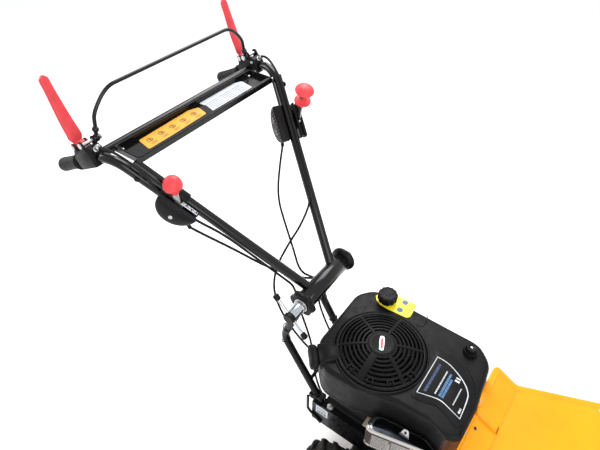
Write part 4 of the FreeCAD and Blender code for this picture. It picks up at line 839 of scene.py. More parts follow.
def wheel_details(side, outward):
    """Wheel bolts, axle nut, valve and rolled rim lips."""
    centre = Vector((AXLE_X, outward * WHEEL_Y, TYRE_R))
    out = Y * outward
    face = centre + out * 13
    bolts = Shape()
    for turn in turns(4, math.radians(45)):
        bolts.hexagon(face + rolling(turn) * 34 - out * 0.4, out, 12, 7)
    bolts.hexagon(centre + out * 36, out, 19, 9)
    bolts.piece("wheel_bolts_" + side, "steel", "wheel_" + side, bevel=0.4)
    stem = [(0, 5), (6, 4.2), (14, 3.4), (15, 4.4), (26, 4.4), (28, 3.2), (28, 0)]
    Shape().lathe(centre + Vector((-20, 0, 40)) + out * 11, out, stem, 16).piece(
        "valve_" + side, "rubber", "wheel_" + side)
    lips = Shape()
    roll = [(-6, 50), (-6, 52.5), (-2, 53), (1, 56), (3.5, 58), (4.6, 57), (3, 53.5), (0, 50)]
    for sign in (-1, 1):
        lips.lathe(centre + Y * sign * 44, Y * sign, roll, 72, closed=True)
    lips.piece("rim_lips_" + side, "black_paint", "wheel_" + side, smooth=50)


def caster(side, outward):
    """Caster tread, spoked core, axle nuts and the nut on top of its stem."""
    centre = Vector((CASTER_X - CASTER_TRAIL, outward * CASTER_Y, CASTER_R))
    tread = [(-20, 44), (-20, 54), (-17, 59.5), (-11, 62), (0, 62.3), (11, 62), (17, 59.5), (20, 54),
             (20, 44)]
    Shape().lathe(centre, Y, tread, 72, closed=True).piece(
        "caster_tread_" + side, "tyre", "caster_roller_" + side, replaces=["caster_wheel_" + side], smooth=50)
    hub = [(-19, 6.1), (-19, 15), (-14, 17), (-6, 20), (-5, 38), (-14, 41), (-16, 44.4)]
    hub += [(-along, radius) for along, radius in reversed(hub)]
    core = Shape().lathe(centre, Y, hub, 60, closed=True)
    for out in (rolling(turn) for turn in turns(6)):
        core.box(centre + out * 29, (22, 26, 3), (out, Y, out.cross(Y)))
    core.piece("caster_core_" + side, "cast", "caster_roller_" + side, bevel=0.8)
    nuts = Shape()
    for sign in (-1, 1):
        nuts.hexagon(centre + Y * sign * 28, Y * sign, 13, 7)
    nuts.hexagon((CASTER_X, centre.y, 272), Z, 18, 6)
    nuts.piece("caster_nuts_" + side, "steel", "caster_" + side, bevel=0.4)


def build_wheels():
    """Both drive wheels and both casters."""
    for side, outward in (("right", -1), ("left", 1)):
        tyre(side, outward)
        wheel_details(side, outward)
        caster(side, outward)
        dress("black_paint", "rim_" + side, "caster_fork_" + side)


# ---- frame --------------------------------------------------------------
def bead(shape, centre, axis, radius, thick=2.2, steps=48):
    """A weld bead round a tube, lumpy like a hand-laid one."""
    axis = Vector(axis).normalized()
    side = axis.orthogonal().normalized()
    other = axis.cross(side)
    rings = []
    for turn in turns(steps):
        out = side * math.cos(turn) + other * math.sin(turn)
        size = thick * (1 + 0.12 * math.sin(12 * turn) + draw.uniform(-0.06, 0.06))
        rings.append(circle(centre + out * radius, out, axis, size, 8))
    return shape.skin(rings, closed=True)


def side_label():
    """Pale sticker with rows of grey print on the right mounting plate."""
    y = -112.2
    outline = rounded([(-121, 255), (-80, 255), (-80, 296), (-121, 296)], 2)
    Shape().prism(outline, (0, y, 0), X, Z, Y * -0.3).piece("plate_label", "white_print", slot="black_paint")
    print_rows = Shape()
    for z, height in ((290, 2.4), (283, 7), (271, 9), (264, 2.4), (259, 2.0)):
        marks(print_rows, (-117, y - 0.25, z), X, -Z, -Y, 33, height * 0.8, gap=0.3)
    print_rows.piece("plate_label_print", "grey_print", slot="black_paint")


def pivot():
    """Height joint: plain cup on the left, lobed cup and chrome T-nut on the right, and the through bolt."""
    plain = [(0, 8.2), (0, 24), (2, 28), (5, 32.4), (9, 34.2), (14, 34.2), (16.5, 32), (17, 27), (18, 19),
             (24, 17.4), (26, 16), (26, 8.2)]
    Shape().lathe(HUB + Y * CUP_Y, Y, plain, 64, closed=True).piece(
        "pivot_cup_left", "black_paint", smooth=50, replaces=["pivot_cups"])
    knob = ((0, 8.2, 0), (0, 26, 1), (2, 31.4, 2.2), (5, 34.4, 2.8), (12, 34.4, 2.8), (15, 32, 2.2),
            (16.8, 27, 1), (17, 22.5, 0), (15.6, 21.8, 0), (15.6, 8.2, 0))
    Shape().lobed(HUB - Y * CUP_Y, (-Y, X, Z), knob, lambda t: math.cos(6 * t), 96, closed=True).piece(
        "pivot_cup_right", "black_plastic", smooth=50)
    bolts = Shape()
    bolts.lathe(HUB - Y * 126, Y, [(0, 6.6), (1.5, 8), (240, 8)], 28)
    bolts.hexagon(HUB + Y * 108.8, Y, 24, 11)
    bolts.lathe(HUB - Y * 99.4, -Y, [(0, 19), (1.6, 19), (2.3, 18.2), (2.3, 8.1), (0, 8.1)], 40, closed=True)
    for x in (-80, 90, 220):
        for y in (-98, 98):
            bolts.hexagon((x, y, 303.8), Z, 13, 8)
    for x in (-92, 6):
        for sign in (-1, 1):
            bolts.hexagon((x, sign * 68, 204), Y * sign, 11, 6)
    bolts.piece("frame_fasteners", "steel", bevel=0.4, replaces=["frame_bolts"])
    nut = Shape()
    start = HUB - Y * 102
    nut.lathe(start, -Y, [(0, 8.2), (0, 15.5), (1.4, 16.6), (5, 16.6), (6.4, 14.2), (44, 14.2), (45.4, 13.2),
                          (48, 13.2), (48, 0)], 64)
    direction = rolling(math.radians(CLAMP_LEAN))
    middle = start - Y * 40
    nut.lathe(middle - direction * 62, direction, [(0, 3.6), (0.6, 4), (123.4, 4), (124, 3.6)], 20)
    nut.piece("clamp_barrel", "chrome", "clamp", smooth=45, replaces=["clamp_nut"])
    cap = [(0, 14.6), (1, 15.2), (11.4, 15.2), (13.2, 13.6), (13.2, 0)]
    knob = [(0, 6.4), (1, 7.6), (12, 8), (14, 7), (15, 4.4), (15, 0)]
    ends = Shape().lathe(start - Y * 38, -Y, cap, 48)
    for sign in (-1, 1):
        ends.lathe(middle + direction * sign * 53, direction * sign, knob, 24)
    ends.piece("clamp_ends", "black_plastic", "clamp")


def frame_welds():
    """Weld beads on the yoke's legs, and the cable ties round them."""
    welds, ties = Shape(), Shape()
    for sign in (-1, 1):
        bead(welds, Vector((-134, sign * 91, 318)), Vector((-117, 0, 199)), TUBE_R)
        hub = facing(LEG_TOP, sign)
        toward = (facing(LEG_KNEE, sign) - hub).normalized()
        bead(welds, hub + toward * 31, toward, TUBE_R)
        bead(welds, Vector((-161, sign * HUB_HALF, 362)), Y, 6, 1.6)
    welds.piece("frame_welds", "black_paint", smooth=60)
    for sign, z in ((-1, 500), (-1, 560), (1, 500), (1, 430)):
        foot, knee = facing(LEG_FOOT, sign), facing(LEG_KNEE, sign)
        if z < knee.z:
            bead(ties, foot + (knee - foot) * ((z - foot.z) / (knee.z - foot.z)), knee - foot, 12.6, 1.3)
        else:
            bead(ties, Vector((-236, knee.y, z)), (0.3, 0, 1), 12.6, 1.3)
    ties.piece("cable_ties", "black_plastic")


def build_frame():
    """Label, pivot and welds of the frame, and finishes for its carried-over parts."""
    side_label()
    pivot()
    frame_welds()
    dress("black_paint", "side_plates", "mounting_plates", "yoke_legs", "frame_rods")
    dress("dark_cast_and_shade", "gearbox")
    dress("steel", "gearbox_shaft")
    dress("belt", "belts")


# ---- housing ------------------------------------------------------------
def housing_top(x, drop=0.0):
    """Height of the housing's upper surface: raised behind, sloping down to the flat deck."""
    ramp = min(1.0, max(0.0, (x - RAMP_START) / (RAMP_END - RAMP_START)))
    return RAISED_Z - (RAISED_Z - DECK_Z) * ramp - drop


def housing_plan(inset=0.0):
    """Plan of the housing: narrow behind, flared to its full width in front."""
    rear, front = HOUSING_REAR + inset, HOUSING_FRONT - inset
    side, wide = HOUSING_NARROW - inset, HOUSING_WIDE - inset
    half = [(rear, -side), (FLARE_START, -side), (FLARE_END, -wide), (front, -wide)]
    return half + [(x, -y) for x, y in reversed(half)]


def cut(made, shape, operation="DIFFERENCE"):
    """Cuts a shape out of an object, or keeps only what both share."""
    other = shape.solid("work")
    modifier = made.modifiers.new("cut", "BOOLEAN")
    modifier.operation = operation
    modifier.solver = "EXACT"
    modifier.object = other
    settle(made)
    bpy.data.objects.remove(other)


def housing():
    """Folded sheet housing: one open shell with the inlet, outlet and rear window cut out."""
    made = Shape().prism(rounded(housing_plan(), 22, 10), (0, 0, 90), X, Y, Z * 300).solid("work")
    side = [(200, 0), (200, RAISED_Z), (RAMP_START, RAISED_Z), (RAMP_END, DECK_Z), (900, DECK_Z), (900, 0)]
    cut(made, Shape().prism(side, (0, -500, 0), X, Z, Y * 1000), "INTERSECT")
    work = bmesh.new()
    work.from_mesh(made.data)
    low = [face for face in work.faces if face.normal.z < -0.9]
    bmesh.ops.delete(work, geom=low, context="FACES_ONLY")
    work.to_mesh(made.data)
    work.free()
    rim = made.modifiers.new("rim", "BEVEL")
    rim.width = 0.008
    rim.segments = 8
    rim.limit_method = "ANGLE"
    rim.angle_limit = math.radians(50)
    wall = made.modifiers.new("wall", "SOLIDIFY")
    wall.thickness = 0.002
    settle(made)
    cut(made, Shape().lathe((INLET_X, 0, 280), Z, [(0, 112), (60, 112)], 96))
    cut(made, Shape().box((258, 0, 277.5), (40, 160, 45)))
    cut(made, Shape().box((667.5, -385, 178), (89, 30, 152)))
    made.name = made.data.name = "housing_sheet"
    made.data.materials.clear()
    made.data.materials.append(M["yellow_paint"])
    made.data.shade_smooth()
    made.data.set_sharp_from_angle(angle=math.radians(12.5))
    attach(made, "chassis")
    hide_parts("housing_shell")


def housing_details():
    """Border bead, side ribs, front swages, the crease, dark discs of painted shade at the rib ends, and the
    bolts.
    """
    beads = Shape()
    line = rounded(housing_plan(15), 14, 8)
    fine = []
    for a, b in zip(line, line[1:] + line[:1]):
        steps = max(1, int((Vector(b) - Vector(a)).length / 8))
        fine += [Vector(a).lerp(Vector(b), i / steps) for i in range(steps)]
    rings = []
    for before, here, after in zip(fine[-1:] + fine, fine, fine[1:] + fine[:1]):
        along = (after - before).normalized()
        across = Vector((along.y, -along.x, 0)) * 1.4
        rings.append(circle(Vector((*here, housing_top(here.x, 1.4))), across, Z, 3.2, 10))
    beads.skin(rings, closed=True)
    rib = ((268, 12.0), (272, 15), (280, 16), (300, 16), (324, 15), (332, 14.4), (335, 13))
    swage = ((640, 1), (642, 5), (648, 7), (700, 7), (706, 5), (708, 1))
    for sign in (-1, 1):
        beads.skin([circle(Vector((x, sign * RIB_Y, housing_top(x) - 1)), Y, Z * 0.95, radius, 24)
                    for x, radius in rib])
        for y in (30, 60):
            beads.skin([circle(Vector((x, sign * y, 308.6)), Y, Z * 0.5, radius, 16) for x, radius in swage])
    crease = [Vector((RAMP_END, y, DECK_Z + 0.3)) for y in range(-276, 277, 12)]
    beads.sweep(crease, 2.2, 10)
    beads.piece("housing_beads", "yellow_paint", smooth=60)
    # Dark discs and hexagons: painted shade at the open rib ends, at the spots beside the ramp and on the
    # rear wall.
    ends = Shape()
    for sign in (-1, 1):
        ends.lathe((334, sign * RIB_Y, 313), X, [(0, 9), (2.2, 11.2), (2.6, 10)], 28)
        ends.lathe((283, sign * 66, 340.5), Vector((42, 0, 74)), [(0, 5), (2.4, 5), (2.4, 0)], 24)
        ends.lathe((262, sign * 206, 300), -X, [(-4, 14), (8, 14)], 6)
    ends.piece("rib_end_shade", "ink_print_and_shade", slot="yellow_paint")
    bolts = Shape()
    for sign in (-1, 1):
        for z in (318, 352):
            bolts.hexagon((248.4, sign * 193 if z > 330 else sign * 206, z), -X, 10, 5)
        for x in (560, 700):
            flare = min((x - FLARE_START) / (FLARE_END - FLARE_START), 1)
            wide = HOUSING_NARROW + (HOUSING_WIDE - HOUSING_NARROW) * flare
            bolts.hexagon((x, sign * (wide - 26), housing_top(x) - 0.4), Z, 10, 5)
        for y in (-18, 18):
            for z in (270, 216):
                bolts.hexagon((HOUSING_FRONT + 3.4, sign * CASTER_Y + y, z), X, 10, 5)
    for turn in turns(4, math.radians(22.5)):
        bolts.hexagon(Vector((INLET_X, 0, 0)) + polar(turn, 118, 313.6), Z, 7, 2.4)
    bolts.piece("housing_bolts", "steel", bevel=0.3)


def inlet_guard():
    """Round wire grid over the inlet: a clamped rim, five rings and eight bars across."""
    centre = Vector((INLET_X, 0, 0))
    clamp = [(0, 108), (0, 128), (2.6, 128), (4, 126.6), (4, 109.4), (2.6, 108)]
    shape = Shape().lathe(centre + Z * 310, Z, clamp, 96, closed=True)
    for radius in (24, 41, 58, 75, 92):
        shape.skin([circle(centre + polar(t, radius, 313.6), polar(t), Z, 2.2, 8) for t in turns(96)],
                   closed=True)
    for turn in (math.radians(22.5 * i) for i in range(8)):
        shape.sweep([centre + polar(turn, span, 311.9) for span in (-118, 118)], 2.0, 10)
    shape.piece("inlet_grid", "black_paint", smooth=50, replaces=["inlet_guard"])


def build_housing():
    """Blower housing with its grid, and finishes for its carried-over parts."""
    housing()
    housing_details()
    inlet_guard()
    dress("yellow_paint", "bottom_plate", "scroll")
    dress("steel", "link_plates", "blower_pins", "impeller_shaft", "idler_arm", "impeller")
    dress("black_paint", "caster_brackets")
    dress("black_plastic", "idler_pulley", "deflector")


# ---- handlebar ----------------------------------------------------------
def grips():
    """Flanged rubber sleeves on both grip tubes."""
    shape = Shape()
    profile = [(0, 11.05), (0, 18.4), (1.4, 20), (4.8, 20), (6.4, 19), (8, 16.8), (12, 16.2), (40, 15.6),
               (70, 16), (86, 16.8), (93, 16.4), (96, 14), (97, 10), (97, 3.4), (95.6, 2.4), (95.6, 0)]
    for outward in (1, -1):
        shape.lathe(facing(GRIP_END - GRIP_DOWN * 92, outward), facing(GRIP_DOWN, outward), profile, 48)
    shape.piece("grip_sleeves", "rubber", "handlebar", smooth=50, replaces=["rubber_grips"])


def lever_housings():
    """Split clamps round both grip tubes, with ears, pins, screws and cable ends."""
    shape, metal, dark = Shape(), Shape(), Shape()
    outline = rounded([(-36, -19), (30, -19), (36, -8), (36, 12), (26, 25), (-30, 25), (-36, 16)], 7, 5)
    collar = [(0, 14), (1.4, 15.4), (7, 15.4), (8.4, 14)]
    half = ((1, 0), (14, 0), (16.6, 0.8), (18, 3.2))
    section = [(-depth, inset) for depth, inset in reversed(half)] + [(-0.4, 0.9), (0.4, 0.9)] + list(half)
    for outward in (1, -1):
        along, up, side = facing(GRIP_DOWN, outward), facing(GRIP_UP, outward), Y * outward
        middle = facing(on_grip(76, 3), outward)
        shape.skin([[middle + along * a * (1 - inset / 36) + up * b * (1 - inset / 22) + side * depth
                     for a, b in outline] for depth, inset in section])
        for a in (-28, 28):
            shape.lathe(middle + along * a - along * 4, along, collar, 32)
        for point, inner, outer in ((LEVER_PIVOT, -17, 17), (BAIL_PIVOT, -32, 17)):
            spot = facing(point, outward)
            length = outer - inner
            metal.lathe(spot + side * inner, side, [(0, 3.2), (0.8, 4), (length - 0.8, 4), (length, 3.2)], 20)
            for ear in (-17, 13):
                shape.lathe(spot + side * ear, side, [(0, 8), (0.8, 8.8), (3.4, 8.8), (4, 8)], 28)
                shape.box(spot + side * (ear + 2) - up * 9, (17, 4, 16), (along, side, up))
            for end, sign in ((inner, -1), (outer, 1)):
                metal.lathe(spot + side * end, side * sign, [(0, 6.2), (1.6, 6.2), (2.4, 5.2)], 20)
        for a, b in ((-26, 14), (22, -10), (-24, -12)):
            metal.screw(middle + along * a + up * b - side * 17.4, -side, 4.2)
        metal.box(middle + along * 4 + up * 25.4, (26, 15, 1.4), (along, side, up))
        cable = facing(on_grip(39, 18), outward)
        toward = (facing(on_grip(8, 27), outward) - cable).normalized()
        adjuster = [(0, 5), (1, 5.8), (4, 5.8), (5, 4.2), (14, 4.2), (15, 5.4), (19, 5.4), (20, 4)]
        metal.lathe(cable - toward * 2, toward, adjuster, 16)
        # Dark block on top of each clamp: painted shade in the lever slot.
        dark.box(middle + up * 24 + along * 18, (18, 9, 3), (along, side, up))
    shape.piece("lever_clamps", "black_plastic", "handlebar", bevel=0.7, replaces=["lever_housings"])
    metal.piece("lever_screws", "steel", "handlebar")
    dark.piece("lever_slot_shade", "ink_print_and_shade", "handlebar", "black_plastic")


def clutch_levers():
    """Red levers: a waisted blade that widens from its boss and narrows to a round tip."""
    lean, tip = math.radians(CLUTCH_LEAN), 0.93
    upward, back = rolling(math.pi / 2 + lean), rolling(math.pi + lean)
    for name, outward in (("left", 1), ("right", -1)):
        shape = Shape()
        pivot = facing(LEVER_PIVOT, outward)
        rings = []
        for t in (step / 26 for step in range(27)):
            distance = 2 + 150 * t
            width = 10.6 + 6.9 * min(1, max(0, (distance - 9.5) / 6)) - 7.0 * min(1, 1.25 * t)
            width = max(width, 9.8)
            if t > tip:
                width *= math.sqrt(max(0.02, 1 - ((t - tip) / 0.072) ** 2))
            away = min(1, max(0, (distance - 26) / 50))
            spot = pivot + upward * distance + back * (3.2 + 4.5 * math.sin(math.pi / 2 * away))
            rings.append(pillow(spot, Y, back, width, 4.2 + 1.4 * away, (0.6, 0.8)))
        shape.skin(rings)
        shape.lathe(pivot - Y * 11, Y, [(0, 4.1), (0, 8.4), (0.9, 9.3), (21.1, 9.3), (22, 8.4), (22, 4.1)],
                    40, closed=True)
        shape.piece("lever_blade_" + name, "red_plastic", "clutch_" + name, smooth=50,
                    replaces=["clutch_lever_" + name])


def bail_details():
    """Engine-stop hoop with its two collars."""
    shape = Shape()
    base = Vector((BAIL_PIVOT.x, BAIL_PIVOT.y - 24, BAIL_PIVOT.z))
    knee, top = Vector((-618, 232, 1150)), Vector((-617, 190, 1191))
    half = [base, base.lerp(knee, 0.55), knee, top, top.lerp(right(top), 0.12)]
    collar = [(0, 4.1), (0, 7.6), (0.8, 8.4), (7.2, 8.4), (8, 7.6), (8, 4.1)]
    for outward in (1, -1):
        foot = facing(base, outward)
        toward = (facing(knee, outward) - foot).normalized()
        shape.lathe(foot + toward * 14, toward, [(0, 4.6), (1.5, 6.6), (5, 7.6), (9, 6.6), (10.5, 4.6)], 24)
        shape.lathe(foot - Y * 4, Y, collar, 32, closed=True)
    route = half + [right(point) for point in reversed(half)]
    shape.sweep(smooth_route(route, 8), 4.3, 16)
    shape.piece("bail_hoop", "gloss_paint", "bail", "black_paint", smooth=60, replaces=["bail"])


def console():
    """Rolled edge, two stickers with their signs, and the screws of the console plate."""
    border = Shape()
    line = rounded([(-590.5, -222.5), (-515.5, -222.5), (-515.5, 222.5), (-590.5, 222.5)], 9, 6)
    border.sweep([Vector((x, y, CONSOLE_Z + 10.2)) for x, y in line + line[:1]], 1.9, 10)
    border.piece("console_rim", "black_paint", "handlebar", smooth=60)
    z = CONSOLE_Z
    sticker = rounded([(-581, -169), (-534, -178), (-540, 4), (-575, 13), (-585, -12)], 7)
    Shape().prism(sticker, (0, 0, z), X, Y, Z * 0.4).piece(
        "console_sticker", "amber_print", "handlebar", "black_paint")
    chart = rounded([(-530, 21), (-535, 168), (-578, 177), (-588, 158), (-588, 27), (-566, 31)], 5)
    Shape().prism(chart, (0, 0, z), X, Y, Z * 0.4).piece(
        "console_chart", "white_print", "handlebar", "black_paint")
    ring = [(0, 7.5), (0.35, 7.5), (0.35, 5.7), (0, 5.7)]
    print_rows = Shape()
    for y in (-152, -118, -84, -50, -16):
        print_rows.lathe((-563, y, z + 0.3), Z, ring, 24, closed=True)
        print_rows.box((-563, y, z + 0.5), (9, 2, 0.3))
        print_rows.box((-563, y + 2.6, z + 0.5), (5, 1.4, 0.3))
        for x, length in ((-549, 18), (-545, 14)):
            marks(print_rows, (x, y - 8, z + 0.3), Y, -X, Z, length, 1.6, gap=0.4)
    print_rows.piece("console_signs", "ink_print_and_shade", "handlebar", "black_paint")
    chart = Shape()
    for x in (-541, -548, -555, -562, -569):
        for y in (38, 82, 126):
            marks(chart, (x, y, z + 0.3), Y, -X, Z, 36 if y < 120 else 30, 2.2, gap=0.4)
    for y in (34, 78, 122):
        chart.box((-556, y, z + 0.5), (36, 0.8, 0.3))
    chart.piece("console_print", "grey_print", "handlebar", "black_paint")
    bolts = Shape()
    for sign in (-1, 1):
        for x in (-584, -522):
            bolts.screw((x, sign * 212, CONSOLE_Z - 0.4), Z, 4.5)
        bolts.hexagon((-521, sign * 236, CONSOLE_Z - 0.6), Z, 9, 4)
    bolts.piece("console_screws", "steel", "handlebar")


def moon_outline(radius, top, steps=40):
    """Half-moon drawn about the lever pin: flat along its upper side."""
    start = math.asin(top / radius)
    sweep = math.pi + 2 * start
    curve = [(radius * math.cos(t), radius * math.sin(t))
             for t in (math.pi - start + sweep * i / steps for i in range(steps + 1))]
    return rounded(curve, 4, 2)


def moon(shape, outward, distance, radius, top, section, sink=14):
    """Half of a control box: its half-moon at each (depth, scale); a smaller one sinks below the pin."""
    u, v, w = tube_axes(outward)
    centre = facing(on_tube(distance), outward)
    outline = moon_outline(radius, top)
    shape.skin([[centre + u * a * scale + v * (b * scale - (1 - scale) * sink) + w * depth
                 for a, b in outline] for depth, scale in section])


def slab(low, high, radius, inset=2.6):
    """Depths and scales of a plate with pillowed faces."""
    steps = ((low, inset), (low + 1, inset * 0.4), (low + 2.6, 0), (high - 2.6, 0), (high - 1, inset * 0.4),
             (high, inset))
    return [(depth, (radius - shrink) / radius) for depth, shrink in steps]


def lens(low, height):
    """Depths and scales of a lens-shaped swelling."""
    return [(low + height * math.sin(math.pi / 2 * step / 8), math.cos(math.pi / 2 * step / 8.6))
            for step in range(9)]


def lever_way(outward, lean):
    """Direction of a control lever, leaning towards the tube's upper end."""
    turn = math.radians(lean)
    return facing(ALONG * math.sin(turn) + ABOVE * math.cos(turn), outward).normalized()


def throttle():
    """Throttle: half-moon case on the right tube with a scale, and the domed red knob."""
    outward = -1
    u, v, w = tube_axes(outward)
    centre = facing(on_tube(THROTTLE_AT), outward)
    shape = Shape()
    for low, high in ((15.2, 26), (32, 42)):
        moon(shape, outward, THROTTLE_AT, BOX_R, 4, slab(low, high, BOX_R))
    moon(shape, outward, THROTTLE_AT, 46.5, 1, lens(40.5, 8), 20)
    moon(shape, outward, THROTTLE_AT, 43, -3, slab(24, 34, 43, 0.5))
    shape.box(centre + w * 13 - v * 6, (24, 8, 16), (u, w, v))
    band = [(0, 12.2), (0, 15.2), (1, 16), (23, 16), (24, 15.2), (24, 12.2)]
    shape.lathe(centre - u * 12, u, band, 48, closed=True)
    shape.box(centre + u * 40 + w * 29 + v * 3.5, (9, 9, 9), (u, w, v))
    shape.piece("throttle_case", "black_plastic", "handlebar", bevel=0.8, replaces=["throttle_box"])
    Shape().box(centre - u * 24 + w * 20.5 + v * 4.3, (40, 9.6, 0.8), (u, w, v)).piece(
        "throttle_scale", "white_print", "handlebar", "black_plastic")
    ticks = Shape()
    for step in range(9):
        ticks.box(centre + u * (-41 + 34 * step / 8) + w * (19.6 + 1.4 * (step % 2)) + v * 4.75,
                  (2.6 if step % 3 else 4.2, 4.4 if step % 3 else 7, 0.2), (u, w, v))
    ticks.piece("throttle_ticks", "ink_print_and_shade", "handlebar", "black_plastic")
    Shape().screw(centre - v * 22 + w * 48.2, w, 5.0).piece("throttle_screws", "steel", "handlebar")
    way = lever_way(outward, THROTTLE_LEAN)
    dome = [(0, 7.4), (1, 8.8), (9, 8.8), (11, 11), (13, 17), (16, 20.2), (20, 21), (26, 20.6), (33, 18),
            (39, 13.4), (43, 7.5), (44.6, 2), (44.6, 0)]
    Shape().lathe(facing(on_tube(THROTTLE_AT, 29), outward) + way * 34, way, dome, 56).piece(
        "throttle_dome", "red_plastic", "throttle", smooth=50, replaces=["throttle_knob"])


def shifter():
    """Gear shift: ribbed half-moon case round the left tube, and the red knob of two discs."""
    u, v, w = ALONG, ABOVE, OUTWARD
    centre = on_tube(SHIFT_AT)
    shape = Shape()
    for low, high in ((15.2, 21), (27, 34), (-38, -14.2)):
        moon(shape, 1, SHIFT_AT, BOX_R, 10, slab(low, high, BOX_R))
    moon(shape, 1, SHIFT_AT, 42, 2, slab(19, 29, 42, 0.5))
    for a in range(-36, 37, 9):
        deep = math.sqrt(44 ** 2 - a * a) - 2
        shape.box(centre + u * a - v * (deep / 2 - 3) - w * 38.6, (2.2, 2.6, deep), (u, w, v))
    shape.box(centre - v * 18 + w * 1, (40, 34, 10), (u, w, v))
    shape.piece("shift_case", "black_plastic", "handlebar", bevel=0.7, replaces=["shift_box"])
    hole_shade, screws = Shape(), Shape()
    rim = [(0, 7.4), (1.5, 7.4), (1.5, 6), (0, 6)]
    for a in (-16, 16):
        spot = centre + u * a - v * 14
        # Dark discs in the case: painted shade inside its two holes.
        hole_shade.lathe(spot - w * 38.4, -w, [(0, 6), (1.5, 6)], 28)
        screws.lathe(spot - w * 38.2, -w, rim, 28, closed=True)
    hole_shade.piece("shift_hole_shade", "ink_print_and_shade", "handlebar", "black_plastic")
    for a, b in ((-34, 2), (34, 2), (0, -40)):
        screws.screw(centre + u * a + v * b + w * 33.4, w, 3.4)
    screws.piece("shift_screws", "steel", "handlebar")
    way = lever_way(1, SHIFT_LEAN)
    foot = on_tube(SHIFT_AT, 24) + way * 60
    knob = [(0, 7), (1, 9), (12, 9), (13, 12), (13.6, 19.6), (14.6, 21), (17.4, 21), (18.4, 19.6), (19, 12),
            (21, 9.6), (48, 9.6), (50, 12), (50.8, 22.6), (52.2, 24), (54, 23.4), (57.5, 19), (60.5, 12),
            (62, 5), (62.2, 0)]
    Shape().lathe(foot, way, knob, 56).piece(
        "shift_knob_red", "red_plastic", "shift", smooth=50, replaces=["shift_knob"])
    # Dark discs round the knob: painted shade in its holes.
    ring = Shape()
    across = X.cross(way).normalized()
    for toward in (-w, across, -across):
        ring.lathe(foot + way * 35 + toward * 8.6, toward, [(0, 5.2), (1.4, 5.2)], 24)
    ring.piece("shift_knob_hole_shade", "ink_print_and_shade", "shift", "red_plastic")


def cables():
    """The four control cables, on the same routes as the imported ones."""
    drive = [on_grip(39, 18), on_grip(8, 27), on_tube(512, 26, 20), on_tube(462, 46, 10),
             on_tube(372, 48, 10), on_tube(286, 18, -2), on_tube(180, 17, -6), on_tube(84, 4, -20)]
    drive = [right(point) for point in drive]
    drive += [(-233, -62, 705), (-229, -57, 640), (-207, -52, 560), (-184, -50, 480), (-177, -52, 400),
              (-162, -56, 325), (-139, -58, 265), (-114, -58, 230)]
    blower = [on_grip(39, 18), on_grip(6, 30), on_tube(516, 0, 26), on_tube(455, 0, 17),
              on_tube(330, 0, 17.5), on_tube(205, 0, 17), (-297, 62, 798), (-312, 12, 742), (-318, -34, 688),
              (-305, -62, 630), (-268, -72, 572), (-215, -78, 527), (-168, -82, 505), (-144, -83, 501)]
    gas = [on_tube(354, 28, -34), on_tube(322, 26, -31), on_tube(240, 18, -22), on_tube(150, 6, -21),
           on_tube(84, -16, -24)]
    gas = [right(point) for point in gas]
    gas += [(-226, -12, 690), (-222, 34, 664), (-213, 66, 628), (-222, 73, 588), (-226, 70, 540),
            (-205, 63, 496), (-176, 59, 474), (-154, 58, 468)]
    gear = [on_tube(356, -27, -30), on_tube(326, -34, -62), (-405, 92, 815), (-352, 58, 764), (-298, 22, 728),
            (-256, -8, 696), (-238, 26, 655), (-226, 57, 615), (-236, 63, 572), (-240, 61, 520),
            (-214, 57, 460), (-184, 55, 405), (-165, 56, 330), (-140, 58, 265), (-114, 58, 230)]
    for name, route in (("drive", drive), ("blower", blower), ("gas", gas), ("gear", gear)):
        stands_for = ["control_cables"] if name == "drive" else ()
        made = Shape().sweep(smooth_route([Vector(p) for p in route], 10), CABLE_R, 14).piece(
            "cable_" + name, "rubber", None, smooth=60, replaces=stands_for)
        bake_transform(made)


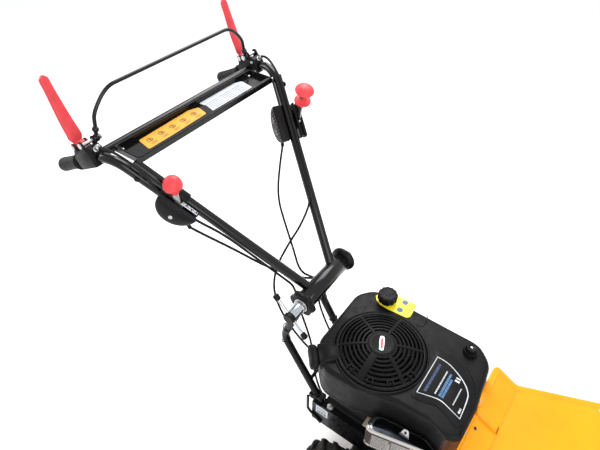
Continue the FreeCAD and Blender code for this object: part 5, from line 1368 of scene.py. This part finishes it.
def handle_details():
    """Pivot sleeve, weld beads, box bolts and cable ferrules."""
    welds, bolts, ferrules = Shape(), Shape(), Shape()
    for outward in (1, -1):
        along, above, w = tube_axes(outward)
        bead(welds, facing(on_tube(17), outward), along, TUBE_R, 2.4)
        for distance in (430, 505):
            spot = facing(on_tube(distance), outward)
            bolts.hexagon(spot + w * 11.6, w, 10, 5)
            bolts.lathe(spot - above * 23 + w * 10.6, w, [(0, 6), (2, 6), (3, 4)], 20)
        bead(welds, HUB + Y * outward * 81.4, Y, 19, 1.8)
    sleeve = [(0, 8.1), (0, 23), (1.4, 24.4), (162.6, 24.4), (164, 23), (164, 8.1)]
    Shape().lathe(HUB - Y * HUB_HALF, Y, sleeve, 72, closed=True).piece(
        "hub_sleeve", "gloss_paint", "handlebar", "black_paint", smooth=50, replaces=["hub_tube"])
    for start, end in ((right(on_tube(371, 28, -26)), right(on_tube(352, 28, -35))),
                       (on_tube(368, -27, -24), on_tube(352, -27.6, -33.5))):
        ferrules.lathe(start, end - start, [(0, 6), (5, 6), (6, 4.6), ((end - start).length, 4.4)], 20)
    ferrules.piece("cable_ferrules", "black_plastic", "handlebar")
    welds.piece("tube_welds", "black_paint", "handlebar", smooth=60)
    bolts.piece("tube_bolts", "black_paint", "handlebar")


def build_handlebar():
    """Grips, levers, bail, console, control boxes, cables and fittings."""
    grips()
    lever_housings()
    clutch_levers()
    bail_details()
    console()
    throttle()
    shifter()
    cables()
    handle_details()
    dress("gloss_paint", "handle_tubes", "crossbar", "console_plate")
    dress("steel", "throttle_lever", "shift_lever")


# ---- stage --------------------------------------------------------------
def build_stage():
    """White floor and surround, three soft lamps and the camera above the right-hand rear."""
    floor = Shape().box((0, 0, -5), (14000, 14000, 10)).solid("floor")
    paper = bpy.data.materials.new("floor")
    paper.use_nodes = True
    shader = paper.node_tree.nodes["Principled BSDF"]
    shader.inputs["Base Color"].default_value = (0.96, 0.96, 0.96, 1)
    shader.inputs["Roughness"].default_value = 0.9
    floor.data.materials.append(paper)
    world = bpy.data.worlds.new("studio")
    bpy.context.scene.world = world
    world.use_nodes = True
    world.node_tree.nodes["Background"].inputs["Color"].default_value = (0.99, 0.995, 1.0, 1)
    world.node_tree.nodes["Background"].inputs["Strength"].default_value = 1.0
    aim = metres((150, 0, 500))
    for name, place, size, power in (("key", (-900, 1500, 2700), 1.6, 60),
                                     ("fill", (2100, -1500, 2300), 2.2, 45),
                                     ("rear", (-2600, -700, 1900), 1.2, 26)):
        lamp = bpy.data.lights.new(name, "AREA")
        lamp.size = size
        lamp.energy = power
        lamp.color = (1.0, 0.99, 0.97)
        holder = bpy.data.objects.new(name, lamp)
        bpy.context.scene.collection.objects.link(holder)
        holder.location = metres(place)
        holder.rotation_euler = (aim - holder.location).to_track_quat("-Z", "Y").to_euler()
    optics = bpy.data.cameras.new("camera")
    optics.lens = 30.0
    optics.sensor_width = 36.0
    camera = bpy.data.objects.new("camera", optics)
    bpy.context.scene.collection.objects.link(camera)
    camera.location = metres((261, -718.5, 1683))
    camera.rotation_euler = (math.radians(47), 0, math.radians(36))
    bpy.context.scene.camera = camera
    bpy.context.scene.view_settings.view_transform = "Standard"


build_engine()
build_wheels()
build_frame()
build_housing()
build_handlebar()
build_stage()
